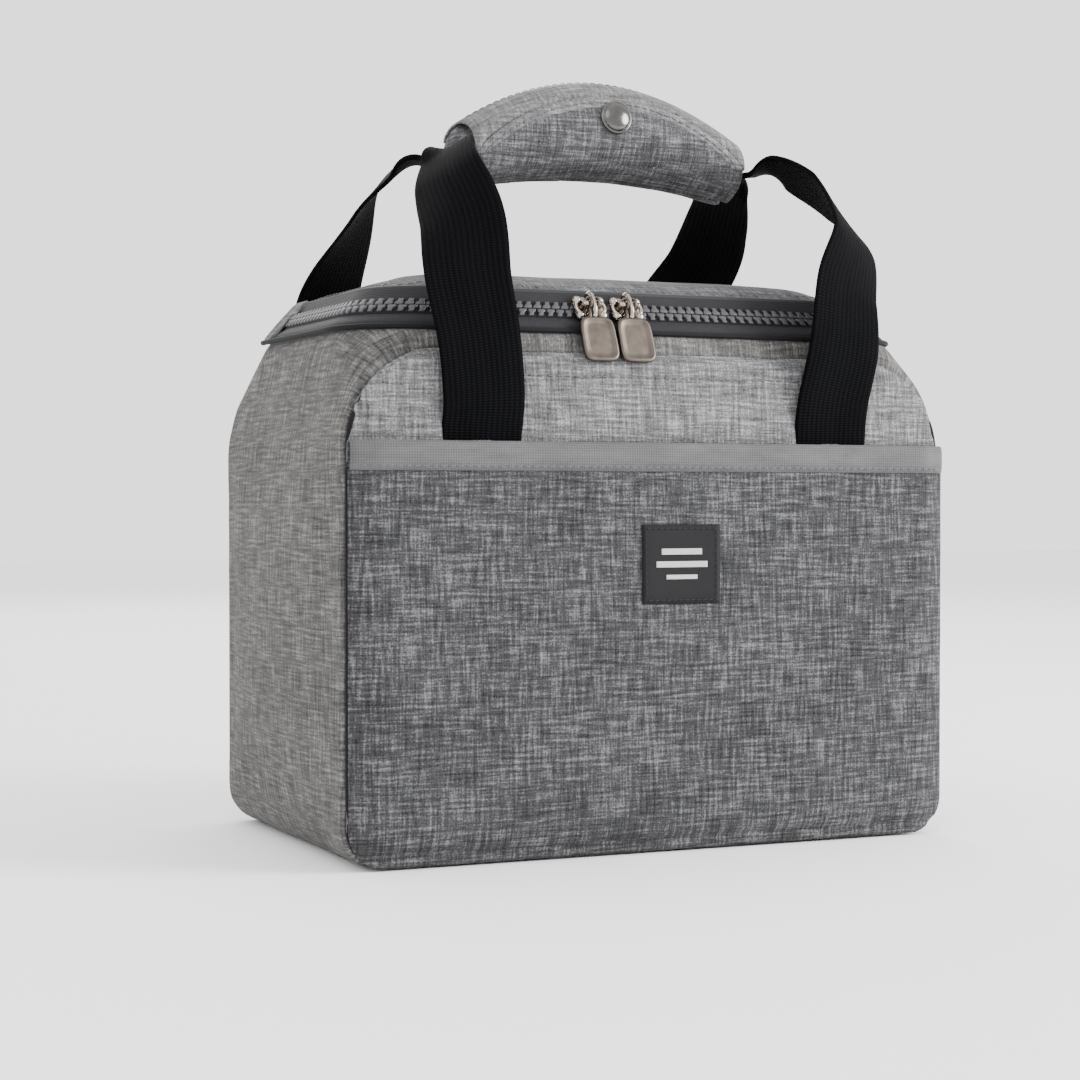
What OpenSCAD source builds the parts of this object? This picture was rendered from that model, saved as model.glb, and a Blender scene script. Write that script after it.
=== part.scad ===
// Insulated lunch bag: a soft zip-top box with two webbing handles and a padded, snapped grip.
// Millimetres, +X to the right, +Y to the back, +Z up. The origin is the middle of the base.

/* [Body] */
// Width of the front and back panels
body_w = 236; // [180:1:290]
// Depth from the front panel's face to the back panel's face
body_d = 140; // [115:1:180]
// Height of the front and back panels, up to their top seam
panel_h = 174; // [145:1:215]
// Radius of the panels' top corners
top_r = 32; // [20:1:42]
// Radius of the panels' bottom corners
foot_r = 14; // [10:1:20]

/* [Layers] */
// Thickness of the outer fabric with its backing
fabric_t = 1.2; // [0.8:0.1:1.6]
// Thickness of the insulating foam sheets
foam_t = 4; // [3:0.5:6]
// Thickness of the foil liner
liner_t = 0.7; // [0.5:0.1:1]
// Gap left between layers that lie on each other
lay_gap = 0.1; // [0.05:0.05:0.2]

/* [Zip and lid] */
// How far the zip tape's lower edge stands above the panels' top seam
collar_rise = 10.5; // [8:0.5:14]
// How far the zip tape's lower edge is set in from the front panel's face
collar_in = 7; // [5:0.5:12]
// How far the zip tape's lower edge is set in from the bag's sides
side_in = 8; // [5:0.5:14]
// Height that the zip's band rises, from its lower edge to the lid's border
band_rise = 13.5; // [11:0.5:18]
// How far the band leans in at the front and back
band_in = 8; // [5:0.5:14]
// How far the band leans in at the sides
band_in_side = 12; // [6:0.5:18]
// Corner radius of the opening, seen from above
rim_r = 30; // [20:1:36]
// Height of the lid's crown above its border
crown_rise = 9; // [5:0.5:14]
// Height that one row of zip teeth covers on the leaning band
row_h = 3; // [2.2:0.1:3.6]
// Thickness of the zip tape
tape_t = 0.8; // [0.6:0.1:1.2]
// Distance from the hinge at the back to the ends of the zip
zip_end = 22; // [15:1:35]

/* [Sliders] */
// Place of the two sliders' meeting line, from the bag's middle
meet_x = -16; // [-25:1:25]
// Length of a slider along the zip
slider_l = 14; // [11:0.5:16]
// Width of a slider across the zip
slider_w = 11; // [9:0.5:13]
// Width of a pull tab
pull_w = 14; // [12:0.5:14]
// Length of a pull tab's plate
pull_l = 17; // [14:0.5:20]
// Thickness of a pull tab
pull_t = 1.8; // [1.2:0.1:2]
// Radius of the slider's bar that the pull hangs on
bar_r = 1; // [0.8:0.1:1.2]
// Clearance between the bar and the pull's eye
eye_gap = 0.3; // [0.2:0.05:0.5]
// Angle at which a pull hangs, from straight down
pull_lean = 22; // [18:1:40]

/* [Pocket] */
// Distance from the panel's top edge down to the pocket's
pocket_drop = 29.5; // [25:0.5:60]
// Height of the binding tape on the pocket's top edge
binding_h = 10; // [8:0.5:14]
// Slack depth inside the pocket
pocket_slack = 4.6; // [4.4:0.1:8]
// Width of the sloping margin between the pocket's seam and its slack face
pocket_slope = 16; // [10:1:24]
// Width of the woven label
label_w = 31; // [20:1:45]
// Height of the woven label
label_h = 28; // [18:1:40]
// Distance from the pocket's top edge down to the label's middle
label_drop = 42.5; // [28:0.5:80]
// Place of the label's middle, from the bag's middle
label_x = 5; // [-30:1:30]

/* [Handles] */
// Width of the handle webbing
web_w = 30; // [22:1:34]
// Thickness of the handle webbing
web_t = 1.6; // [1.2:0.1:2]
// Distance from the bag's middle to the middle of each handle leg
leg_x = 69; // [60:1:80]
// Length of webbing sewn down below the pocket's edge
tail_l = 46; // [30:1:60]
// Height of the grip's ridge above the panels' top seam
grip_top = 109; // [95:1:130]

/* [Grip] */
// Length of the padded grip
grip_l = 112; // [95:1:125]
// Height of the grip at its middle
grip_h = 37; // [32:0.5:42]
// Height of the grip at its ends
grip_end_h = 25; // [24:0.5:30]
// Depth of the grip, front to back
grip_d = 39; // [36:0.5:46]
// How far the grip hangs over to the right
grip_x = 7; // [0:0.5:8]
// How far the ridge of the grip falls at its ends
grip_droop = 18; // [12:0.5:22]
// Thickness of the grip's snap flap
flap_t = 3; // [2.4:0.1:3.6]
// Width of the webbing folded up inside the grip
fold_w = 8; // [7:0.5:9]
// Thickness of the webbing folded up inside the grip
fold_t = 3.2; // [2.8:0.1:3.4]
// Radius of the snap's cap
snap_r = 6.3; // [5:0.1:7.5]
// Clearance between pieces that part or swing
move_gap = 0.4; // [0.3:0.05:0.6]

/* [Hidden] */

// Thickness of the outlines that a hull is stretched over, on the bag and on the pocket
slice = 1;
skin = 0.2;
// Steps that a hull's quarter-round corner is drawn in
corner_steps = 8;
// Larger than the bag in every direction
far = 600;

// Opening: its rim, the line where the two rows of teeth meet, and the lid's border
rim_z = panel_h + collar_rise;
rim_w = body_w - 2 * side_in;
rim_d = body_d - 2 * collar_in;
lid_z = rim_z + band_rise;
lid_w = rim_w - 2 * band_in_side;
lid_d = rim_d - 2 * band_in;
chain_z = rim_z + band_rise / 2;
zip_back_y = rim_d / 2 - zip_end;
// Height gaps, measured up the leaning band
row_gap = 0.15;
tooth_proud = 0.8;
tooth_sunk = 0.8;

// Layer insets, from the outside in
foam_in = fabric_t + lay_gap;
liner_in = foam_in + foam_t + lay_gap;
inside_in = liner_in + liner_t;

// Band's lean at the front: its normal and its slope, in the YZ plane
lean_l = norm([band_in, band_rise]);
band_tilt = atan2(band_rise, band_in);
chain_y = -(rim_d / 2 - band_in / 2);

// Sliders stand off the band, and carry their bar above their top plate
plate_low = tooth_proud + move_gap;
plate_t = 1.6;
bar_lift = plate_low + plate_t + bar_r + 1.6;
post_l = 2;
eye_wall = 1.2;
eye_w = 5;
bar_y = chain_y - bar_lift * band_rise / lean_l;
bar_z = chain_z + bar_lift * band_in / lean_l;
neck_l = 5.5;

// Pocket and its label
pocket_top = panel_h - pocket_drop;
label_z = pocket_top - label_drop;
pocket_y = -(body_d / 2 + pocket_slack + fabric_t);
binding_t = 0.6;
seam_in = 1;

// Handles: the fold line that each loop swings about, and the loop's way up to the grip
fold_z = pocket_top + 1.5;
fold_y = body_d / 2 + pocket_slack + fabric_t + binding_t + 0.6;
web_y = body_d / 2 + lay_gap + 0.4 + web_t / 2;
tail_top = fold_z - 2 * move_gap;
ridge_z = panel_h + grip_top;
// How far in front of the fold line the webbing bows on its way past the zip
bow = 0.2;
strap_steps = 5;
fold_y_mid = 6.3;

// Grip
grip_a = grip_d / 2;
grip_b = grip_h / 2;
grip_zc = ridge_z - grip_b;
end_drop = grip_droop - (grip_h - grip_end_h) / 2;
grip_steps = 14;
arc_steps = 10;
channel_gap = 0.2;
stud_base_t = 1.1;
stud_base_r = 3.5;
socket_r = 3.7;
pad_in = flap_t + move_gap;
lap_in = flap_t + stud_base_t + move_gap;
snap_angle = 170;
flap_peak = 144;
flap_low = 240;

// ---- outlines and forms ----

// Panel outline in the XZ plane, drawn flat
module panel_outline(inset) {
    w = body_w / 2 - inset;
    top = panel_h - inset;
    rt = top_r - inset;
    rb = max(foot_r - inset, 2);
    translate([-w, inset + rb]) square([2 * w, top - rt - rb - inset]);
    translate([-w + rt, inset + rb]) square([2 * (w - rt), top - rb - inset]);
    translate([-w + rb, inset]) square([2 * (w - rb), rb + 1]);
    for (side = [-1, 1]) {
        translate([side * (w - rt), top - rt]) circle(rt);
        translate([side * (w - rb), inset + rb]) circle(rb);
    }
}

// Stands a flat drawing up in the XZ plane, from y0 towards the back
module upright(y0, t) {
    translate([0, y0 + t, 0]) rotate([90, 0, 0]) linear_extrude(t) children();
}

// Rounded rectangle seen from above
module plan_outline(w, d, r) {
    square([w - 2 * r, d], center = true);
    square([w, d - 2 * r], center = true);
    for (sx = [-1, 1], sy = [-1, 1]) translate([sx * (w / 2 - r), sy * (d / 2 - r)]) circle(r);
}

// Points of a rounded rectangle with its own radius at the bottom and the top, for the hulls
function corner_points(cx, cy, r, from) = [for (k = [0 : corner_steps]) let (a = from + 90 * k / corner_steps)
    [tidy(cx + r * cos(a)), tidy(cy + r * sin(a))]];
function tidy(v) = round(v * 1000) / 1000;
function outline_points(w, low, top, rb, rt) = concat(
    corner_points(w - rt, top - rt, rt, 0), corner_points(-w + rt, top - rt, rt, 90),
    corner_points(-w + rb, low + rb, rb, 180), corner_points(w - rb, low + rb, rb, 270));

// A panel's outline, as a plate that narrows away from its face, for the hulls
module panel_slice(side, inset) {
    mirror([0, side < 0 ? 1 : 0, 0])
        translate([0, body_d / 2 - inset, panel_h / 2]) rotate([90, 0, 0])
            linear_extrude(slice, scale = 0.8)
                polygon(outline_points(body_w / 2 - inset, inset - panel_h / 2, panel_h / 2 - inset,
                    max(foot_r - inset, 2), top_r - inset));
}

module plan_slice(w, d, r, z) {
    translate([0, 0, z]) mirror([0, 0, 1]) linear_extrude(slice, scale = 0.8)
        polygon(outline_points(w / 2, -d / 2, d / 2, r, r));
}

// The bag below the zip, as a solid, set in by a layer's depth
module bag_form(inset, lift = 0) {
    hull() {
        panel_slice(-1, inset);
        panel_slice(1, inset);
        plan_slice(rim_w - 2 * inset, rim_d - 2 * inset, rim_r - inset, rim_z + lift);
    }
}

// The zip's band and the lid above it, as a solid, set in by a layer's depth
module top_form(inset, drop = 0) {
    r = rim_r - inset;
    hull() {
        plan_slice(rim_w - 2 * inset, rim_d - 2 * inset, r, rim_z - drop);
        plan_slice(lid_w - 2 * inset, lid_d - 2 * inset, r - 3, lid_z - max(inset, 0));
        plan_slice(lid_w * 0.82 - 2 * inset, lid_d * 0.74 - 2 * inset, r - 10,
            lid_z + crown_rise * 0.75 - inset);
        plan_slice(lid_w * 0.55 - 2 * inset, lid_d * 0.4 - 2 * inset, r - 18,
            lid_z + crown_rise - inset);
    }
}

// A slab between two heights, over the whole bag
module level(z0, z1) {
    translate([-far / 2, -far / 2, z0]) cube([far, far, z1 - z0]);
}

// ---- outer fabric ----

module panel(side) {
    y0 = side < 0 ? -body_d / 2 : body_d / 2 - fabric_t;
    color("#77777d") upright(y0, fabric_t) panel_outline(0, $fn = 64);
}

module front_panel() panel(-1);
module back_panel() panel(1);

// The band of fabric between the two panels, with the opening on top
module gusset_shell(inset, t, ends) {
    difference() {
        bag_form(inset);
        bag_form(inset + t, 1);
        for (side = [-1, 1]) translate([-far / 2, side < 0 ? -far : body_d / 2 - ends, -1])
            cube([far, side < 0 ? far - body_d / 2 + ends : far, far]);
    }
}

module box(x0, x1, y0, y1, z0, z1) {
    translate([x0, y0, z0]) cube([x1 - x0, y1 - y0, z1 - z0]);
}

corner_x = body_w / 2 - top_r;

module side_gusset(side) {
    color("#85837f") intersection() {
        gusset_shell(0, fabric_t, fabric_t + lay_gap);
        box(side < 0 ? -far : corner_x, side < 0 ? -corner_x : far, -far, far, foot_r, far);
    }
}

module left_gusset() side_gusset(-1);
module right_gusset() side_gusset(1);

module base_gusset() {
    color("#85837f") intersection() {
        gusset_shell(0, fabric_t, fabric_t + lay_gap);
        level(-1, foot_r - lay_gap);
    }
}

module collar(side) {
    color("#85837f") intersection() {
        gusset_shell(0, fabric_t, fabric_t + lay_gap);
        box(-corner_x + lay_gap, corner_x - lay_gap, side < 0 ? -far : 0, side < 0 ? 0 : far,
            panel_h / 2, far);
    }
}

module front_collar() collar(-1);
module back_collar() collar(1);

// ---- insulation and liner ----

module foam_sheet(side) {
    y0 = side < 0 ? -body_d / 2 + foam_in : body_d / 2 - foam_in - foam_t;
    color("#f2f2ee") upright(y0, foam_t) panel_outline(foam_in + lay_gap, $fn = 64);
}

module front_foam() foam_sheet(-1);
module back_foam() foam_sheet(1);

module gusset_foam_shell() {
    gusset_shell(foam_in, foam_t, foam_in + foam_t + lay_gap);
}

module side_foam(side) {
    color("#f2f2ee") intersection() {
        gusset_foam_shell();
        box(side < 0 ? -far : corner_x, side < 0 ? -corner_x : far, -far, far,
            foot_r, panel_h - foam_t);
    }
}

module left_foam() side_foam(-1);
module right_foam() side_foam(1);

module base_foam() {
    color("#f2f2ee") intersection() {
        gusset_foam_shell();
        level(-1, foot_r - lay_gap);
    }
}

module foil_liner() {
    color("#c9ccd0") difference() {
        bag_form(liner_in);
        bag_form(inside_in, 1);
        level(rim_z - lay_gap, far);
    }
}

// ---- front pocket ----

// The pocket's tray shape: sewn round its edge, slack in the middle, open at the top
module pocket_form(depth, margin, top) {
    hull() {
        upright(-body_d / 2 - lay_gap - skin, skin) intersection() {
            panel_outline(seam_in + margin, $fn = 32);
            translate([-far / 2, -1]) square([far, top + 1]);
        }
        upright(-body_d / 2 - depth, skin) intersection() {
            panel_outline(pocket_slope + margin, $fn = 32);
            translate([-far / 2, -1]) square([far, top + 1]);
        }
        upright(-body_d / 2 - depth, skin) intersection() {
            panel_outline(pocket_slope + margin, $fn = 32);
            translate([-far / 2, top - top_r]) square([far, top_r]);
        }
    }
}

module pocket_panel() {
    color("#5f6067") difference() {
        pocket_form(pocket_slack + fabric_t, 0, pocket_top - binding_t - lay_gap);
        pocket_form(pocket_slack, fabric_t * 2, pocket_top + 1);
    }
}

module pocket_binding() {
    color("#8d8d8d") intersection() {
        difference() {
            pocket_form(pocket_slack + fabric_t + binding_t, 0, pocket_top);
            pocket_form(pocket_slack - binding_t, fabric_t * 2, pocket_top + 1);
            difference() {
                pocket_form(pocket_slack + fabric_t + 0.02, -0.2, pocket_top - binding_t);
                pocket_form(pocket_slack - 0.02, fabric_t * 2 + 0.1, pocket_top + 1);
            }
        }
        level(pocket_top - binding_h, pocket_top);
    }
}

module woven_label() {
    color("#17171a") box(label_x - label_w / 2, label_x + label_w / 2,
        pocket_y - 0.8, pocket_y - 0.05, label_z - label_h / 2, label_z + label_h / 2);
}

// ---- zip ----

// A stretch of the leaning band, round the front and both sides
module band(outer, inner, z0, z1) {
    intersection() {
        difference() {
            top_form(outer);
            top_form(inner, 1);
        }
        box(-far, far, -far, zip_back_y, z0, z1);
    }
}

module body_tape() {
    color("#54555a") band(0, tape_t, rim_z + lay_gap, chain_z - row_h);
}

module lid_tape() {
    color("#54555a") band(0, tape_t, chain_z + row_h, lid_z - lay_gap);
}

module body_teeth() {
    color("#4b4c51") band(-tooth_proud, tooth_sunk, chain_z - row_h + 0.05, chain_z - row_gap);
}

module lid_teeth() {
    color("#4b4c51") band(-tooth_proud, tooth_sunk, chain_z + row_gap, chain_z + row_h - 0.05);
}

// Fabric tabs that close the two ends of the zip beside the hinge
module zip_end_tabs() {
    color("#54555a") intersection() {
        difference() {
            top_form(0);
            top_form(tape_t * 2, 1);
        }
        box(-far, far, zip_back_y + lay_gap, zip_back_y + 10, rim_z + lay_gap, rim_z + 2.4);
    }
}

// Places a drawing on the front of the band: its X along the zip, its Y up the slope, its Z out
module on_band(x) {
    translate([x, chain_y, chain_z]) rotate([band_tilt, 0, 0]) children();
}

module slider(x) {
    color("#b3a794") on_band(x) {
        difference() {
            translate([-slider_l / 2, -slider_w / 2, plate_low]) cube([slider_l, slider_w, plate_t]);
            for (sx = [-1, 1], sy = [-1, 1]) translate([sx * slider_l / 2, sy * slider_w / 2, 0])
                cylinder(r = 2.2, h = 9, $fn = 32);
        }
        for (sx = [-1, 1]) hull() {
            translate([sx * (eye_w / 2 + move_gap + post_l / 2), 0, plate_low + plate_t - 0.1])
                translate([-post_l / 2, -2.2, 0]) cube([post_l, 4.4, 0.2]);
            translate([sx * (eye_w / 2 + move_gap + post_l / 2), 0, bar_lift])
                rotate([0, 90, 0]) cylinder(r = bar_r + 0.6, h = post_l, center = true, $fn = 32);
        }
        translate([0, 0, bar_lift]) rotate([0, 90, 0])
            cylinder(r = bar_r, h = eye_w + 2 * move_gap + post_l, center = true, $fn = 32);
    }
}

left_x = meet_x - slider_l / 2 - move_gap / 2;
right_x = meet_x + slider_l / 2 + move_gap / 2;

module slider_left() slider(left_x);
module slider_right() slider(right_x);

// Pull tab: an eye round the slider's bar, a neck and a rounded plate
module pull(x) {
    eye_r = bar_r + eye_gap + eye_wall;
    color("#8f8474") translate([x, bar_y, bar_z]) rotate([-pull_lean, 0, 0]) {
        difference() {
            union() {
                rotate([0, 90, 0]) cylinder(r = eye_r, h = eye_w, center = true, $fn = 32);
                translate([-eye_w / 2, -pull_t / 2, -neck_l]) cube([eye_w, pull_t, neck_l]);
            }
            rotate([0, 90, 0]) cylinder(r = bar_r + eye_gap, h = far, center = true, $fn = 32);
        }
        translate([0, pull_t / 2, 0]) rotate([90, 0, 0]) linear_extrude(pull_t)
            translate([0, -neck_l - pull_l / 2]) plan_outline(pull_w, pull_l, 4, $fn = 48);
    }
}

module pull_left() pull(left_x);
module pull_right() pull(right_x);

// ---- lid ----

module lid_panel() {
    color("#8c8c90") intersection() {
        difference() {
            top_form(0);
            top_form(fabric_t, 1);
        }
        union() {
            level(lid_z, far);
            box(-far, far, zip_back_y + move_gap, far, rim_z + 2.8, far);
        }
    }
}

module lid_layer(outer, inner) {
    difference() {
        top_form(outer);
        top_form(inner, 1);
        level(-far, chain_z + row_h + 0.5);
    }
}

module lid_foam() {
    color("#f2f2ee") lid_layer(foam_in, foam_in + foam_t);
}

module lid_liner() {
    color("#c9ccd0") lid_layer(liner_in, inside_in);
}

// ---- handles ----

// Sewn ends of a handle, flat on the panel
module strap_tails(side) {
    color("#141417") for (sx = [-1, 1])
        translate([sx * leg_x - web_w / 2, side * web_y - web_t / 2, fold_z - tail_l])
            cube([web_w, web_t, tail_top - fold_z + tail_l]);
}

module front_strap_tails() strap_tails(-1);
module back_strap_tails() strap_tails(1);

// Grip's cross-section at a place along it: u runs from -1 to 1
function grip_u(x) = (x - grip_x) / (grip_l / 2);
function section_b(u) = grip_b - (grip_h - grip_end_h) / 2 * u * u;
function section_a(u) = grip_a - 1.5 * u * u;
function section_z(u) = grip_zc - end_drop * u * u;
function webbing_z(u) = section_z(u) - 0.3 * section_b(u);

// One leg of a handle: [x, distance in front of the middle, z, twist, width, thickness]
end_z = webbing_z(1);
leg_rise = end_z - panel_h;
function leg_points(side) = let (g = grip_x + side * grip_l / 2) [
    [side * leg_x, web_y, fold_z, 0, web_w, web_t],
    [side * leg_x, fold_y - 3, fold_z + 14, 0, web_w, web_t],
    [side * (leg_x + 3), fold_y - bow, panel_h + 6, 2, web_w, web_t],
    [side * (leg_x + 6), fold_y - 3, panel_h + leg_rise * 0.36, 14, web_w, web_t],
    [g + side * 23, fold_y - 16, panel_h + leg_rise * 0.64, 40, web_w, web_t],
    [g + side * 21, fold_y - 36, panel_h + leg_rise * 0.88, 72, web_w - 2, web_t],
    [g + side * 13, fold_y - 55, panel_h + leg_rise * 1.03, 88, web_w - 8, web_t + 0.6],
    [g + side * 6, 11, end_z + 2.5, 90, fold_w + 6, fold_t - 0.4],
    [g, fold_y_mid, end_z, 90, fold_w, fold_t]];

// Smooth curve through a list of points
function bend(a, b, c, d, t) = 0.5 * (2 * b + (c - a) * t
    + (2 * a - 5 * b + 4 * c - d) * t * t + (3 * b - a - 3 * c + d) * t * t * t);
function smooth(p) = [for (i = [0 : len(p) - 2], k = [0 : strap_steps - 1])
    bend(p[max(i - 1, 0)], p[i], p[i + 1], p[min(i + 2, len(p) - 1)], k / strap_steps),
    p[len(p) - 1]];
function reversed(p) = [for (i = [len(p) - 1 : -1 : 0]) p[i]];

// The stretch of webbing inside the grip, between its ends
function inner_points() = [for (i = [1 : grip_steps - 1]) let (u = 2 * i / grip_steps - 1)
    [grip_x + u * grip_l / 2, fold_y_mid, webbing_z(u), 90, fold_w, fold_t]];

function loop_points() = concat(
    [for (p = smooth(leg_points(-1))) [p[0], p[1], p[2], p[3], p[4], p[5]]],
    [for (p = inner_points()) p],
    [for (p = reversed(smooth(leg_points(1)))) [p[0], p[1], p[2], 180 - p[3], p[4], p[5]]]);

// Four corners of the webbing at one point of its way
function unit(v) = v / norm(v);
function xyz(p) = [p[0], -p[1], p[2]];
function ribbon_ring(pts, i, extra) = let (
    p = pts[i],
    t = unit(xyz(pts[min(i + 1, len(pts) - 1)]) - xyz(pts[max(i - 1, 0)])),
    raw = [cos(p[3]), -sin(p[3]), 0],
    w = unit(raw - (raw * t) * t),
    n = cross(t, w))
    [for (c = [[-1, -1], [1, -1], [1, 1], [-1, 1]])
        xyz(p) + w * c[0] * (p[4] / 2 + extra) + n * c[1] * (p[5] / 2 + extra)];

// A solid swept through a list of rings with the same number of corners
module sweep(rings) {
    n = len(rings[0]);
    last = (len(rings) - 1) * n;
    polyhedron(
        points = [for (r = rings, p = r) p],
        faces = concat(
            [[for (k = [0 : n - 1]) k]],
            [for (i = [0 : len(rings) - 2], k = [0 : n - 1]) let (a = i * n, j = (k + 1) % n)
                each [[a + k, a + n + k, a + n + j], [a + k, a + n + j, a + j]]],
            [[for (k = [n - 1 : -1 : 0]) last + k]]));
}

module ribbon(extra = 0) {
    pts = loop_points();
    sweep([for (i = [0 : len(pts) - 1]) reversed(ribbon_ring(pts, i, extra))]);
}

module front_strap() {
    color("#141417") ribbon();
}

module back_strap() {
    color("#141417") mirror([0, 1, 0]) ribbon();
}

// ---- padded grip ----

function section_point(u, angle, inset) = [
    grip_x + u * grip_l / 2,
    (section_a(u) - inset) * cos(angle),
    section_z(u) + (section_b(u) - inset) * sin(angle)];

// An arc of the grip's section, from one angle to another
function section_arc(u, from, to, inset) = [for (k = [0 : arc_steps])
    section_point(u, from + (to - from) * k / arc_steps, inset)];

function grip_rings() = [for (i = [0 : grip_steps]) 2 * i / grip_steps - 1];

// Corners of the channel that holds the folded webbing, open to the grip's middle plane
function channel(u, side, up) = let (
    x = grip_x + u * grip_l / 2,
    near = side * move_gap / 2,
    deep = side * (fold_y_mid + fold_w / 2 + channel_gap),
    half = fold_t / 2 + channel_gap)
    [[x, near, webbing_z(u) - up * half], [x, deep, webbing_z(u) - up * half],
        [x, deep, webbing_z(u) + up * half], [x, near, webbing_z(u) + up * half]];

function middle(u, side, drop) = [[grip_x + u * grip_l / 2, side * move_gap / 2, section_z(u) - drop]];

// Padding sewn on the front webbing: the lower front quarter of the grip
module front_grip_pad() {
    color("#77777d") sweep([for (u = grip_rings()) concat(
        section_arc(u, 187, 267, pad_in), channel(u, -1, 1), middle(u, -1, 1.4))]);
}

// Padding sewn on the back webbing: the back half, and the top that the flap closes on
module back_grip_pad() {
    color("#77777d") sweep([for (u = grip_rings()) concat(
        section_arc(u, -88, 84, 0), section_arc(u, 98, 183, lap_in),
        middle(u, 1, 1), channel(u, 1, -1))]);
}

// Flap with a rounded upper edge, over the front of the grip
function flap_top(u) = 196 - (196 - flap_peak) * sqrt(max(0, 1 - pow(abs(u), 2.4)));

module grip_flap() {
    color("#8a8a8e") difference() {
        sweep([for (v = grip_rings()) let (u = v * 0.985) concat(
            section_arc(u, flap_top(u), flap_low, 0),
            reversed(section_arc(u, flap_top(u), flap_low, flap_t)))]);
        snap_place() translate([0, 0, -10]) cylinder(r = socket_r + 0.1, h = 20, $fn = 48);
    }
}

// Snap: its axis stands square on the flap, with Z pointing out
snap_y = section_a(0) * cos(snap_angle);
snap_z = section_z(0) + section_b(0) * sin(snap_angle);
snap_tilt = atan2(sin(snap_angle) * section_a(0), -cos(snap_angle) * section_b(0));

module snap_place() {
    translate([grip_x, snap_y, snap_z]) rotate([90 - snap_tilt, 0, 0]) children();
}

// Domed cap with its post
module snap_cap() {
    color("#9d9b98") snap_place() {
        rotate_extrude($fn = 64) polygon(concat([[0, 0.35], [snap_r - 0.3, 0.35]],
            [for (k = [0 : 12]) [snap_r * cos(k * 7.5), 0.8 + 2.6 * sin(k * 7.5)]]));
        translate([0, 0, -1]) cylinder(r = 2.2, h = 1.8, $fn = 48);
    }
}

// Ring set in the flap that the stud clicks into
module snap_socket() {
    color("#8d8b88") snap_place() translate([0, 0, -flap_t - 0.2]) difference() {
        cylinder(r = socket_r, h = flap_t + 0.3, $fn = 48);
        translate([0, 0, -1]) cylinder(r = 2.5, h = flap_t + 3, $fn = 48);
    }
}

// Stud on the back padding, on its washer
module snap_stud() {
    color("#8d8b88") snap_place() translate([0, 0, -lap_in + 0.02]) {
        cylinder(r = stud_base_r, h = stud_base_t, $fn = 48);
        cylinder(r = 2, h = stud_base_t + 2, $fn = 48);
    }
}

front_panel();
back_panel();
left_gusset();
right_gusset();
base_gusset();
front_collar();
back_collar();
front_foam();
back_foam();
left_foam();
right_foam();
base_foam();
foil_liner();
pocket_panel();
pocket_binding();
woven_label();
body_tape();
body_teeth();
zip_end_tabs();
lid_tape();
lid_teeth();
lid_panel();
lid_foam();
lid_liner();
slider_left();
slider_right();
pull_left();
pull_right();
front_strap_tails();
back_strap_tails();
front_strap();
back_strap();
front_grip_pad();
back_grip_pad();
grip_flap();
snap_cap();
snap_socket();
snap_stud();
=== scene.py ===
import math

import bmesh
import bpy
from mathutils import Matrix, Vector, noise
from mathutils.kdtree import KDTree


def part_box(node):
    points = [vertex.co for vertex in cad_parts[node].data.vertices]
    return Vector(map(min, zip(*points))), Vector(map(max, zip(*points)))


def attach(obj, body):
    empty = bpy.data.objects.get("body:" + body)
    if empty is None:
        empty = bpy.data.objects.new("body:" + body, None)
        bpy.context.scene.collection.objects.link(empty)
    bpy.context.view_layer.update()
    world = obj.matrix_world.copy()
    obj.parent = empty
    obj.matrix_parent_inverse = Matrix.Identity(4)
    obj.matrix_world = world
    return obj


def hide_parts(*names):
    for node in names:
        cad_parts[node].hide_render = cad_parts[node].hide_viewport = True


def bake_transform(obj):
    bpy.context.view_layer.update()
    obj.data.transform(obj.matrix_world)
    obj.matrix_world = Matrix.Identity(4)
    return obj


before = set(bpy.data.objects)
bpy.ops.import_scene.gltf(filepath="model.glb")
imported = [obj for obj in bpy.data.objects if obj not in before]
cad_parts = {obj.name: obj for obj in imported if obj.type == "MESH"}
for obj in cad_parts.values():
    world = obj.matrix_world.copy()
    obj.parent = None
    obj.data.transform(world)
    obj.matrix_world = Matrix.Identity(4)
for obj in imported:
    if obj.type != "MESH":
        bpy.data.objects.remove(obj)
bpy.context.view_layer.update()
mm = 0.001


# ---- Camera, floor and light ----
# A long lens at the height of the pocket, turned a little to show the left side,
# over a pale floor, with large soft lamps in front, above and at both sides.

def linked(name, data):
    """A new object in the scene, made of a mesh, a lamp or a camera."""
    thing = bpy.data.objects.new(name, data)
    bpy.context.collection.objects.link(thing)
    return thing


def facing(ahead):
    """The turn of a camera or lamp that looks along a direction."""
    return Vector(ahead).to_track_quat("-Z", "Y").to_euler()


yaw, pitch = math.radians(24.1), math.radians(-0.96)
camera = linked("camera", bpy.data.cameras.new("camera"))
camera.data.lens = 76.0
camera.data.sensor_width = 36.0
camera.location = (-0.369, -0.791, 0.124)
camera.rotation_euler = facing((math.sin(yaw) * math.cos(pitch), math.cos(yaw) * math.cos(pitch),
                                math.sin(pitch)))
bpy.context.scene.camera = camera


def plain_material(name, color, roughness):
    """A shader with a colour and a roughness on its own sockets, returned with its tree."""
    material = bpy.data.materials.new(name)
    material.use_nodes = True
    shader = material.node_tree.nodes["Principled BSDF"]
    shader.inputs["Base Color"].default_value = (*color, 1)
    shader.inputs["Roughness"].default_value = roughness
    return material, material.node_tree, shader


def soft_lamp(name, place, aim, size, watts):
    lamp = linked(name, bpy.data.lights.new(name, "AREA"))
    lamp.data.shape = "DISK"
    lamp.data.size = size
    lamp.data.energy = watts
    lamp.location = place
    lamp.rotation_euler = facing(Vector(aim) - Vector(place))


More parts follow.
